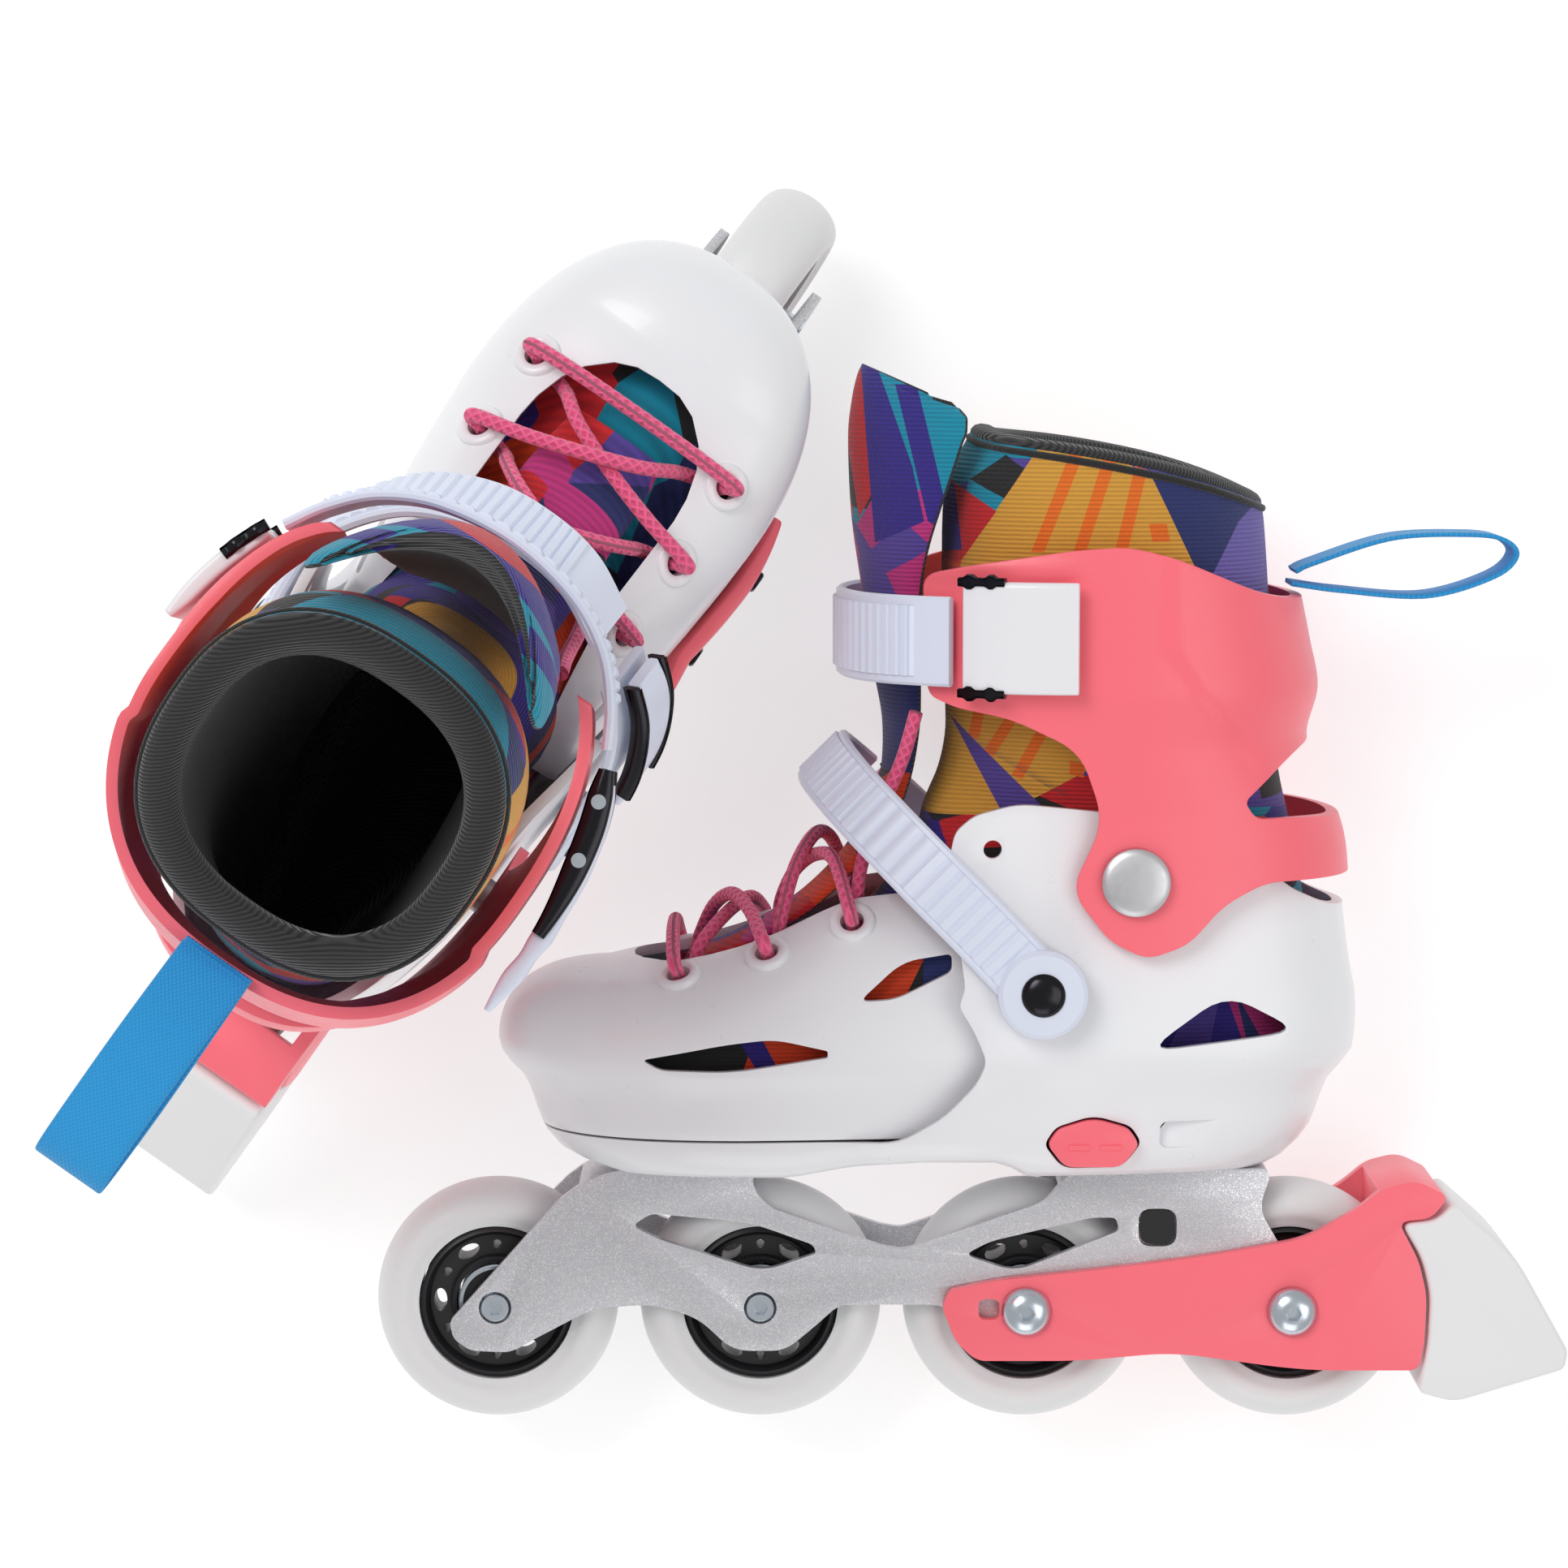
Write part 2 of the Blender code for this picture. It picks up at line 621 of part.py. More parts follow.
STRAP_Z = 229.5
CUFF_STRAP_PATH = [(-15, 49.5), (-5, 43.5), (5, 34), (12, 20), (15, 0), (12, -20), (5, -34), (-5, -43.5),
                   (-15, -49.5)]
CLASP_PATH = [(-18.5, 52.0), (-34, 57.2), (-50, 60.0)]
LEVER_PATH = [(-19, -52.5), (-36, -58.5), (-58, -62.0), (-86, -61.5)]


def level_path(points, z, count):
    return smooth_curve([(x, y, z) for x, y in points], count)


def cuff_strap(skate):
    path = level_path(CUFF_STRAP_PATH, STRAP_Z, 18)
    skate.add("cuff_strap", loft(ribbon_rings(path, (0, 0, 1), CUFF_STRAP_WIDTH, 2.6)), "strap", "cuff")


def cuff_clasp(skate):
    path = level_path(CLASP_PATH, 231.0, 6)
    skate.add("cuff_clasp", loft(ribbon_rings(path, (0, 0, 1), 31.0, 4.5)), "shell", "cuff_clasp")


def cuff_lever(skate):
    path = level_path(LEVER_PATH, STRAP_Z, 10)
    thickness = [4.0, 5.0, 6.0, 6.0, 6.0, 6.0, 5.5, 4.5, 3.5, 2.5]
    skate.add("cuff_lever", loft(ribbon_rings(path, (0, 0, 1), 29.0, thickness)), "black", "cuff_lever")


# ---- running gear ----
FRAME_EDGE = [(88, DECK_TOP), (127.6, 31), (126.5, 26), (121.6, 22.5), (110, 22), (103, 26), (86, 35),
              (68.6, 36), (56, 32), (46, 22.5), (31, 22.5), (22, 30), (15.5, 36), (-14, 36), (-22, 30),
              (-31, 22.5), (-46, 22.5), (-56, 32), (-68.6, 36), (-86, 35), (-103, 26), (-110, 22),
              (-121.6, 22.5), (-126.5, 28), (-112, 52), (-105, 64), (-109, DECK_TOP), (-51.6, DECK_TOP),
              (-43.5, 66), (-3, 52), (3, 53), (34.6, 64), (39, 68), (42, DECK_TOP)]
FRAME_SLOTS = [[(75, 59), (69.5, 62.6), (41, 60), (23, 53.5), (22, 51), (37.5, 45.6), (67, 55)],
               [(-20.5, 50.6), (-28, 54.5), (-57, 61.4), (-64, 61.4), (-65, 57.6), (-35, 45.6)]]
FRAME_PORT = [(-70.5, 53), (-70.5, 64), (-81.5, 64), (-81.5, 53)]


def frame(skate, with_pins):
    """The aluminium chassis; with_pins leaves its axles in it as one piece."""
    chassis = skate.add("frame", skate.plate([FRAME_EDGE] + FRAME_SLOTS + [FRAME_PORT],
                                             -FRAME_HALF, FRAME_HALF), "alloy")
    inner = FRAME_HALF - FRAME_WALL
    channel = skate.box((-150, -inner, -5), (150, inner, DECK_TOP - DECK_THICKNESS))
    combine(chassis, skate.cutter("channel", channel), "DIFFERENCE")
    for number, x in enumerate(AXLE_XS):
        reach = FRAME_HALF + 0.6 if number < 2 else BRAKE_HALF + 2.5
        radius = AXLE_RADIUS if with_pins else EAR_HOLE_RADIUS
        pin = skate.cylinder((x, -reach, WHEEL_RADIUS), (x, reach, WHEEL_RADIUS), radius)
        combine(chassis, skate.cutter(f"pin_{number}", pin), "UNION" if with_pins else "DIFFERENCE")


def axle(skate, number, x):
    if number <= 2:
        reach = FRAME_HALF + 0.6
        profile = [(0, reach), (AXLE_RADIUS, reach), (AXLE_RADIUS, -reach), (0, -reach)]
    else:
        seat = BRAKE_HALF + 0.4
        profile = [(0, seat + 4.0), (4.4, seat + 3.2), (BOLT_HEAD_RADIUS, seat + 0.9), (BOLT_HEAD_RADIUS, seat),
                   (AXLE_RADIUS, seat)]
        profile += [(r, -h) for r, h in profile[::-1]]
    skate.turned(f"axle_{number}", profile, "steel", (x, 0, WHEEL_RADIUS), sides=PIN_SIDES)


def tyre_profile(inner_radius):
    half = WHEEL_WIDTH / 2
    crown = 8.0
    tread = [(WHEEL_RADIUS - crown + crown * math.cos(a), half * math.sin(a))
             for a in (math.pi / 2 * k / 2 for k in range(2, -3, -1))]
    return tread + [(inner_radius, -half + 2), (inner_radius, half - 2)]


def wheel(skate, number, x):
    """Tyre, hub and bearing pair, which turn together about the axle."""
    body = f"wheel_{number}"
    centre = (x, 0, WHEEL_RADIUS)
    skate.body(body, centre)
    skate.turned(f"tyre_{number}", tyre_profile(HUB_RADIUS + FIT_GAP), "urethane", centre, body)
    seat = BEARING_RADIUS + FIT_GAP + 0.2
    skate.turned(f"hub_{number}", [(HUB_RADIUS, 9), (HUB_RADIUS, -9), (seat, -9), (seat, 9)], "hub", centre, body)
    outer, inner, sleeve = 10.3, 3.3, 6.0
    half = [(BEARING_RADIUS, outer), (BEARING_RADIUS, inner), (sleeve, inner)]
    profile = half + [(r, -h) for r, h in half[::-1]] + [(BORE_RADIUS, -outer), (BORE_RADIUS, outer)]
    skate.turned(f"bearings_{number}", profile, "steel", centre, body, sides=PIN_SIDES)


def plain_wheel(skate, number, x):
    """A wheel whose tyre, hub and bearings are one piece."""
    body = f"wheel_{number}"
    centre = (x, 0, WHEEL_RADIUS)
    skate.body(body, centre)
    skate.turned(f"wheel_{number}", tyre_profile(BORE_RADIUS), "urethane", centre, body)


ARM_EDGE = [(-14, 36), (-16, 41), (-30, 44), (-59, 47), (-90, 51), (-118, 56), (-133, 64.7), (-140, 70.7),
            (-149.5, 73), (-159, 68.3), (-154, 62), (-144.5, 61), (-150.5, 50), (-153, 39.7), (-152.5, 26),
            (-151, 17.7), (-118, 17.7), (-80, 23), (-54, 20.5), (-24, 20.5), (-18, 26)]
ARM_SLOT = [(-24.5, 38.5), (-24.5, 32.5), (-30.5, 32.5), (-30.5, 38.5)]
PAD_EDGE = [(-145.4, 60.4), (-155.5, 61.4), (-161, 66.5), (-178, 51.6), (-194, 23), (-193, 17.7),
            (-161.5, 8.1), (-151, 11), (-152.1, 17.4), (-153.6, 26), (-154.1, 39.7), (-151.6, 50)]


def brake(skate):
    holes = [circle_points(x, WHEEL_RADIUS, EAR_HOLE_RADIUS, PIN_SIDES) for x in AXLE_XS[2:]]
    arm = skate.add("brake_arm", skate.plate([ARM_EDGE, ARM_SLOT] + holes, -BRAKE_HALF, BRAKE_HALF), "coral")
    long_slot = skate.box((-139, -BRAKE_INNER, 0), (0, BRAKE_INNER, 90))
    combine(arm, skate.cutter("arm_channel", long_slot), "DIFFERENCE")
    rear_slot = skate.box((-170, -BRAKE_INNER + 0.3, 0), (-138, BRAKE_INNER - 0.3, 60.9))
    combine(arm, skate.cutter("arm_rear_channel", rear_slot), "DIFFERENCE")
    skate.add("brake_pad", skate.plate([PAD_EDGE], -PAD_WIDTH / 2, PAD_WIDTH / 2), "pad")


BUTTON_EDGE = [(-43, 86.5), (-48, 80), (-64, 80), (-69, 86.5), (-66, 91), (-56, 94), (-46, 91)]


def size_button(skate, shell):
    """The push button in the left wall and its hole in the base shell."""
    centre_x, centre_z = -56.0, 87.0
    face_y = grown(centre_x, base_half_width(centre_x), centre_z).y
    skate.add("size_button", skate.plate([BUTTON_EDGE], face_y - 3.4, face_y + 1.6), "coral", "size_button")
    hole = [(centre_x + (x - centre_x) * 1.07, centre_z + (z - centre_z) * 1.12) for x, z in BUTTON_EDGE]
    combine(shell, skate.cutter("button_hole", skate.plate([hole], face_y - 9, face_y + 12)), "DIFFERENCE")


HEEL_WINDOW = [(-70, 113), (-93.4, 129.3), (-115, 117.5)]


def skid_plate(skate):
    """Wear plate that hugs the right side of the sole under the ball of the foot."""
    rings = []
    for k in range(10):
        x = 2 + 70 * k / 9
        inner = base_half_width(x) + 0.8
        rise = math.sin(math.pi * (0.12 + 0.76 * k / 9))
        low, high = 82.0, 90.0 + 16.0 * rise
        base = grown(x, inner, 88)
        rings.append([(base.x, -grown(x, inner, low).y - 0.6, low), (base.x, -inner - 0.2, high),
                      (base.x, -inner - 0.8 - 3.4 * rise, high), (base.x, -inner - 0.8 - 3.6 * rise, high - 6),
                      (base.x, -grown(x, inner, low).y - 0.6 - 3.2 * rise, low)])
    skate.add("skid_plate", loft(rings), "coral")


# ---- lace ----
def lace_side():
    """One half of the lace, from its free end beside the shin to the bar between the front
    eyelets: (point, how far the other half passes above it there)."""
    (x1, y1), (x2, y2), (x3, y3) = EYELETS[:3]

    def through(x, y, depth):
        return toe_surface(x, y) + eyelet_normal(x, y) * depth

    return [
        ((-6, 27.5, 208), 0), ((-2, 25.5, 194), 0), ((4.5, 23.8, 178.5), 0), ((9.5, 22, 163), 0),
        ((10.5, 22.1, 150.0), 0), ((11.5, 26.6, 142.4), 0), (through(x3, y3, -6.8), 0), (through(x3, y3, 0), 0), (through(x3, y3, 5.5), 0),
        ((17, 21, 165), 1), ((22, 5, 165), 5), ((28, -12, 158.5), 4), ((32, -20.3, 149), 0),
        ((33, -21.6, 141.5), 0), ((34.5, -26.5, 136.0), 0), (through(x2, -y2, -6.5), 0), (through(x2, -y2, 0), 0), (through(x2, -y2, 5.5), 0),
        ((41, -20, 149.5), 1), ((46, -4, 148.5), 5), ((51.5, 10, 144.5), 4), ((55.5, 16.5, 139.5), 0),
        ((57, 18.8, 134.0), 0), ((58.8, 24.2, 129.6), 0), (through(x1, y1, -6.5), 0), (through(x1, y1, 0), 0),
        (through(x1, y1, 5.5), 0), ((63, 16, 143.5), 0),
    ]


def lace(skate):
    """One tube; its second half is the first one's mirror image, raised where they cross."""
    half = [(Vector(point), lift) for point, lift in lace_side()]
    other = [Vector((p.x, -p.y, p.z + lift)) for p, lift in half]
    path = smooth_curve([p for p, _ in half] + other[::-1], 80)
    curve = bpy.data.curves.new(skate.prefix + "lace", "CURVE")
    curve.dimensions = "3D"
    curve.bevel_depth = LACE_RADIUS * MM
    curve.bevel_resolution = 1
    curve.use_fill_caps = True
    spline = curve.splines.new("POLY")
    spline.points.add(len(path) - 1)
    for point, place in zip(spline.points, path):
        point.co = (*(place * MM), 1)
    curve.materials.append(skate.looks["lace"])
    obj = bpy.data.objects.new(skate.prefix + "lace", curve)
    skate.collection.objects.link(obj)
    skate.attach(obj, "toe")


def build_skate(prefix, matrix, collection, cutters, looks, detailed):
    skate = Skate(prefix, matrix, collection, cutters, looks)
    skate.body("cuff", PIVOT)
    skate.body("toe", (TOE_BACK_X, 0, LIP_Z))
    skate.body("size_button", (-56, 40, 87))
    skate.body("cuff_lever", (LEVER_PATH[0][0], LEVER_PATH[0][1], STRAP_Z))
    skate.body("cuff_clasp", (CLASP_PATH[0][0], CLASP_PATH[0][1], STRAP_Z))
    skate.body("instep_lever", (4, -38.5, 177))
    frame(skate, with_pins=not detailed)
    for number, x in enumerate(AXLE_XS, start=1):
        if detailed:
            wheel(skate, number, x)
            axle(skate, number, x)
        else:
            plain_wheel(skate, number, x)
    brake(skate)
    shell = boot_shell(skate)
    wall = cuff(skate)
    rivet_holes(skate, shell, wall)
    size_button(skate, shell)
    combine(shell, skate.cutter("heel_window", skate.plate([HEEL_WINDOW], -60, 60)), "DIFFERENCE")
    cuff_rivet(skate, "cuff_rivet_left", 1)
    cuff_rivet(skate, "cuff_rivet_right", -1)
    toe_shell(skate)
    liner(skate)
    tongue(skate)
    pull_loop(skate)
    instep_strap(skate)
    instep_buckle(skate)
    instep_lever(skate)
    cuff_strap(skate)
    cuff_clasp(skate)
    cuff_lever(skate)
    skid_plate(skate)
    lace(skate)


def lying_matrix():
    """Toe to -X, left side up, cuff a little higher than the wheels."""
    tilt = math.radians(LYING_TILT)
    axes = Matrix(((-1, 0, 0), (0, -math.sin(tilt), math.cos(tilt)), (0, math.cos(tilt), math.sin(tilt))))
    return Matrix.Translation(Vector(LYING_PLACE) * MM) @ axes.to_4x4()


def standing_matrix():
    return (Matrix.Translation(Vector(STANDING_PLACE) * MM)
            @ Matrix.Rotation(math.radians(STANDING_HEADING), 4, "Z"))


def build():
    for obj in list(bpy.data.objects):
        bpy.data.objects.remove(obj)
    collection = bpy.data.collections.new("inline_skates")
    cutters = bpy.data.collections.new("cutters")
    bpy.context.scene.collection.children.link(collection)
    bpy.context.scene.collection.children.link(cutters)
    looks = {
        "shell": material("white_shell", (0.86, 0.86, 0.89), 0.3),
        "coral": material("coral_plastic", (1.0, 0.17, 0.22), 0.35),
        "strap": material("strap_plastic", (0.78, 0.82, 0.92), 0.35),
        "urethane": material("urethane", (0.82, 0.82, 0.83), 0.4),
        "hub": material("hub_black", (0.02, 0.02, 0.022), 0.4),
        "alloy": material("silver_alloy", (0.6, 0.6, 0.64), 0.35, 0.8),
        "steel": material("zinc_steel", (0.5, 0.55, 0.62), 0.25, 1.0),
        "satin": material("satin_alloy", (0.62, 0.62, 0.64), 0.4, 0.9),
        "black": material("black_nickel", (0.03, 0.03, 0.035), 0.2, 0.6),
        "pad": material("white_rubber", (0.85, 0.85, 0.86), 0.5),
        "knit": material("printed_knit", (0.1, 0.1, 0.35), 0.9),
        "webbing": material("blue_webbing", (0.03, 0.3, 0.7), 0.8),
        "lace": material("pink_lace", (0.9, 0.09, 0.3), 0.8),
    }
    build_skate("a_", lying_matrix(), collection, cutters, looks, detailed=True)
    build_skate("b_", standing_matrix(), collection, cutters, looks, detailed=False)


build()
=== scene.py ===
"""Looks for the pair of inline skates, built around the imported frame.

Every piece is made in the skate's own frame in millimetres (x to the toe, y to the skater's
left, z up from the ground), once for each skate, and placed by the frame's wheel joints.
"""
import json
import math

import bmesh
import bpy
from mathutils import Matrix, Vector


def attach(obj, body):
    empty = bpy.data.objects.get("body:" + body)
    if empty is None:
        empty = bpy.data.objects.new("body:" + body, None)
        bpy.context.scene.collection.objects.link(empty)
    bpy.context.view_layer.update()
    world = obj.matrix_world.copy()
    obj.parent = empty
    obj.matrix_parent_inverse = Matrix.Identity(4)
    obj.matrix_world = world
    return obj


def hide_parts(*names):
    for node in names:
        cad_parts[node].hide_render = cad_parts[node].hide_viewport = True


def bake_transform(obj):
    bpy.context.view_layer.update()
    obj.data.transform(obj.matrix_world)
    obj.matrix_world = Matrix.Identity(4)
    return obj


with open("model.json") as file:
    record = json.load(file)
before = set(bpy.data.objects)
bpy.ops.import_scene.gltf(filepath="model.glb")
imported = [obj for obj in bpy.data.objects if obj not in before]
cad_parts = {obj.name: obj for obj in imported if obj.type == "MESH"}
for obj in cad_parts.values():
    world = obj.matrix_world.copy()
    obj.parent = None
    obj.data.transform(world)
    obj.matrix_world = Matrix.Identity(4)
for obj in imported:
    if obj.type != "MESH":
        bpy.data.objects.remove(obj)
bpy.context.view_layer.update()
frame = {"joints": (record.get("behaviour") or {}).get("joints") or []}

MM = 0.001
WHEEL_RADIUS = 35.0
PITCH = 76.3
AXLE_XS = [PITCH * k for k in (1.5, 0.5, -0.5, -1.5)]
LEFT = Vector((0, 1, 0))
UPRIGHT = (0, 0, 1)
JOINTS = {joint["name"]: joint for joint in frame["joints"]}


def skate_matrix(prefix):
    """The skate's frame, read from its wheel joints, in metres."""
    front = Vector(JOINTS[prefix + "wheel_1_spin"]["pos_m"])
    rear = Vector(JOINTS[prefix + "wheel_4_spin"]["pos_m"])
    x_axis = (front - rear).normalized()
    y_axis = Vector(JOINTS[prefix + "wheel_1_spin"]["axis"]).normalized()
    z_axis = x_axis.cross(y_axis)
    origin = (front + rear) / 2 - z_axis * WHEEL_RADIUS * MM
    axes = Matrix((x_axis, y_axis, z_axis)).transposed().to_4x4()
    return Matrix.Translation(origin) @ axes


# ======== mesh helpers ========
def linear(points, x):
    """Read (x, value) points with straight lines between them."""
    if x <= points[0][0]:
        return points[0][1]
    for (x0, v0), (x1, v1) in zip(points, points[1:]):
        if x <= x1:
            return v0 + (v1 - v0) * (x - x0) / (x1 - x0)
    return points[-1][1]


def eased(points, x):
    """Read (x, value) points with a smooth curve through them."""
    if x <= points[0][0]:
        return points[0][1]
    if x >= points[-1][0]:
        return points[-1][1]
    k = max(i for i in range(len(points) - 1) if points[i][0] <= x)

    def slope(i):
        a, b = points[max(i - 1, 0)], points[min(i + 1, len(points) - 1)]
        return (b[1] - a[1]) / (b[0] - a[0])

    (x0, v0), (x1, v1) = points[k], points[k + 1]
    h = x1 - x0
    t = (x - x0) / h
    return (v0 * (2 * t ** 3 - 3 * t * t + 1) + slope(k) * h * (t ** 3 - 2 * t * t + t)
            + v1 * (3 * t * t - 2 * t ** 3) + slope(k + 1) * h * (t ** 3 - t * t))


def superellipse(t, power):
    """The height over t of a superellipse with half-axes of 1."""
    return max(0.0, 1.0 - min(1.0, abs(t)) ** power) ** (1.0 / power)


def smooth_curve(points, count, closed=False):
    """Points along a Catmull-Rom curve through the given points."""
    pts = [Vector(p) for p in points]
    if closed:
        pts = [pts[-1]] + pts + pts[:2]
    else:
        pts = [2 * pts[0] - pts[1]] + pts + [2 * pts[-1] - pts[-2]]
    spans = len(pts) - 3
    out = []
    for i in range(count):
        s = i / (count if closed else count - 1) * spans
        k = min(int(s), spans - 1)
        t = s - k
        a, b, c, d = pts[k:k + 4]
        out.append(0.5 * ((2 * b) + (c - a) * t + (2 * a - 5 * b + 4 * c - d) * t * t
                          + (3 * b - a - 3 * c + d) * t ** 3))
    return out


def squarish(value):
    """Bend a cosine or a sine so that the two draw a superellipse and not a circle."""
    return math.copysign(abs(value) ** (2 / 2.4), value)


def around(count):
    """Cosines and sines at even steps round a circle."""
    return [(math.cos(2 * math.pi * k / count), math.sin(2 * math.pi * k / count)) for k in range(count)]


def to_mesh(bm, weld=True):
    if weld:
        bmesh.ops.remove_doubles(bm, verts=bm.verts, dist=0.01)
        bmesh.ops.dissolve_degenerate(bm, edges=bm.edges, dist=0.005)
    bmesh.ops.recalc_face_normals(bm, faces=bm.faces)
    mesh = bpy.data.meshes.new("shape")
    bm.to_mesh(mesh)
    bm.free()
    return mesh


def grid_mesh(rows, closed=False, caps=False, bottom=False, split=None):
    """A surface through rows of points; caps close a loft, bottom joins a mirrored first row.
    Rows from split on take the second material."""
    bm = bmesh.new()
    grid = [[bm.verts.new(Vector(p)) for p in row] for row in rows]
    size = len(grid[0])
    for number, (low, high) in enumerate(zip(grid, grid[1:])):
        for i in range(size if closed else size - 1):
            j = (i + 1) % size
            face = bm.faces.new((low[i], low[j], high[j], high[i]))
            face.material_index = 1 if split and number >= split - 1 else 0
    if caps:
        bm.faces.new(grid[0][::-1])
        bm.faces.new(grid[-1])
    if bottom:
        ring = grid[0]
        for i in range(size // 2):
            bm.faces.new(list(dict.fromkeys([ring[i], ring[i + 1], ring[-i - 1], ring[-i % size]])))
    return to_mesh(bm)


def frames_along(path, across):
    """Each point of a path, with the unit directions of its width and its outer face."""
    for i, point in enumerate(path):
        tangent = (path[min(i + 1, len(path) - 1)] - path[max(i - 1, 0)]).normalized()
        wide = Vector(across)
        wide = (wide - tangent * wide.dot(tangent)).normalized()
        yield point, wide, tangent.cross(wide)


def ribbon(path, across, width, thickness, ridges=None):
    """Sections along a path, with rounded edges; ridges(i) raises the outer face there."""
    rows = []
    for i, (point, wide, normal) in enumerate(frames_along(path, across)):
        half = (thickness(i) if callable(thickness) else thickness) / 2
        w = width(i) if callable(width) else width
        top = half + (ridges(i) if ridges else 0.0)
        edge = min(0.8, half * 0.7)
        profile = [(-1, edge - half, 0), (-1, half - edge, 0), (-1, half, edge), (-0.8, half, 0), (-0.78, top, 0),
                   (0.78, top, 0), (0.8, half, 0), (1, half, edge), (1, half - edge, 0), (1, edge - half, 0),
                   (1, -half, edge), (-1, -half, edge)]
        rows.append([point + wide * (s * w / 2 - math.copysign(inset, s)) + normal * h
                     for s, h, inset in profile])
    return rows


def lathe(profile, centre=(0, 0, 0), sides=96):
    """Turn (radius, y) points about the y axis through the centre."""
    bm = bmesh.new()
    grid = [[bm.verts.new(Vector(centre) + Vector((r * c, y, r * s))) for r, y in profile]
            for c, s in around(sides)]
    for k in range(sides):
        here, after = grid[k], grid[(k + 1) % sides]
        for i in range(len(profile)):
            j = (i + 1) % len(profile)
            bm.faces.new((here[i], here[j], after[j], after[i]))
    return to_mesh(bm)


def mirrored(profile):
    """A lathe profile, followed by its mirror image across y = 0."""
    return profile + [(r, -h) for r, h in profile[::-1]]


def prism(outline, low, high, upright=False):
    """A side-view outline run from one y to the other, or if upright a plan run up in z."""
    bm = bmesh.new()
    near, far = ([bm.verts.new((u, v, end) if upright else (u, end, v)) for u, v in outline]
                 for end in (low, high))
    bm.faces.new(near)
    bm.faces.new(far[::-1])
    for i in range(len(outline)):
        j = (i + 1) % len(outline)
        bm.faces.new((near[i], far[i], far[j], near[j]))
    return to_mesh(bm, weld=False)


def rod(start, end, radius, sides=32):
    bm = bmesh.new()
    start, end = Vector(start), Vector(end)
    turn = Vector(UPRIGHT).rotation_difference(end - start).to_matrix().to_4x4()
    bmesh.ops.create_cone(bm, cap_ends=True, segments=sides, radius1=radius, radius2=radius,
                          depth=(end - start).length, matrix=Matrix.Translation((start + end) / 2) @ turn)
    return to_mesh(bm)


def drill(x, z, radius, sides=32, reach=30):
    """A round cutter straight across the skate."""
    return rod((x, -reach, z), (x, reach, z), radius, sides)


def joined(*meshes):
    bm = bmesh.new()
    for mesh in meshes:
        bm.from_mesh(mesh)
    return to_mesh(bm, weld=False)


def rounded(points, steps=5):
    """An outline with its corners rounded by a smooth curve between edge thirds."""
    out = []
    count = len(points)
    for i, point in enumerate(points):
        before, after = Vector(points[i - 1]), Vector(points[(i + 1) % count])
        p = Vector(point)
        reach = min((before - p).length, (after - p).length) * 0.35
        a = p + (before - p).normalized() * reach
        b = p + (after - p).normalized() * reach
        for k in range(steps + 1):
            t = k / steps
            out.append(tuple(a * (1 - t) ** 2 + p * 2 * t * (1 - t) + b * t * t))
    return out


def slab(outline, half, steps=5):
    """A side-view outline with rounded corners, run through to both sides alike."""
    return prism(rounded(outline, steps), -half, half)


class Skate:
    """One skate: places pieces, keeps their local coordinates and hangs them on bodies."""

    def __init__(self, prefix):
        self.prefix = prefix
        self.to_world = skate_matrix(prefix) @ Matrix.Scale(MM, 4)
        self.to_local = self.to_world.inverted()

    def temporary(self, mesh):
        mesh.transform(self.to_world)
        obj = bpy.data.objects.new("tool", mesh)
        bpy.context.scene.collection.objects.link(obj)
        return obj

    def piece(self, name, mesh, look, body, replaces=(), wall=None, cuts=(), keeps=(), joins=(), bevel=0.0,
              bevel_angle=40, segments=2, inner_look=None, smooth=40, slot=None):
        """Model a piece, bake its modifiers and hang it on a body."""
        obj = self.temporary(mesh)
        obj.name = self.prefix + name

        def step(kind, **settings):
            added = obj.modifiers.new(kind.lower(), kind)
            for key, value in settings.items():
                setattr(added, key, value)

        if wall:
            step("SOLIDIFY", thickness=wall * MM, offset=-1.0, use_even_offset=True)
        for key in filter(None, (look, inner_look)):
            obj.data.materials.append(LOOKS[key])
        tools = []
        for operation, meshes in (("INTERSECT", keeps), ("DIFFERENCE", cuts), ("UNION", joins)):
            for tool_mesh in meshes:
                tools.append(self.temporary(tool_mesh))
                step("BOOLEAN", operation=operation, object=tools[-1])
        if bevel:
            step("WELD", merge_threshold=0.00003)
            step("BEVEL", width=bevel * MM, segments=segments, limit_method="ANGLE",
                 angle_limit=math.radians(bevel_angle))
        bpy.context.view_layer.update()
        baked = bpy.data.meshes.new_from_object(obj.evaluated_get(bpy.context.evaluated_depsgraph_get()))
        obj.modifiers.clear()
        obj.data = baked
        for tool in tools:
            bpy.data.objects.remove(tool)
        attribute = baked.attributes.new("local", "FLOAT_VECTOR", "POINT")
        for vert, item in zip(baked.vertices, attribute.data):
            item.vector = self.to_local @ vert.co
        baked.shade_smooth()
        baked.set_sharp_from_angle(angle=math.radians(smooth))
        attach(obj, self.prefix + body)
        if replaces:
            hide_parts(*[self.prefix + node for node in replaces])
        return obj

    def bend(self, obj, span, fill=None):
        """Take a soft piece off its body and bake its placement into its mesh; the span, (body, body, start, end)
        in (x, z), and fill are not used.
        """
        obj.parent = None
        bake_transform(obj)


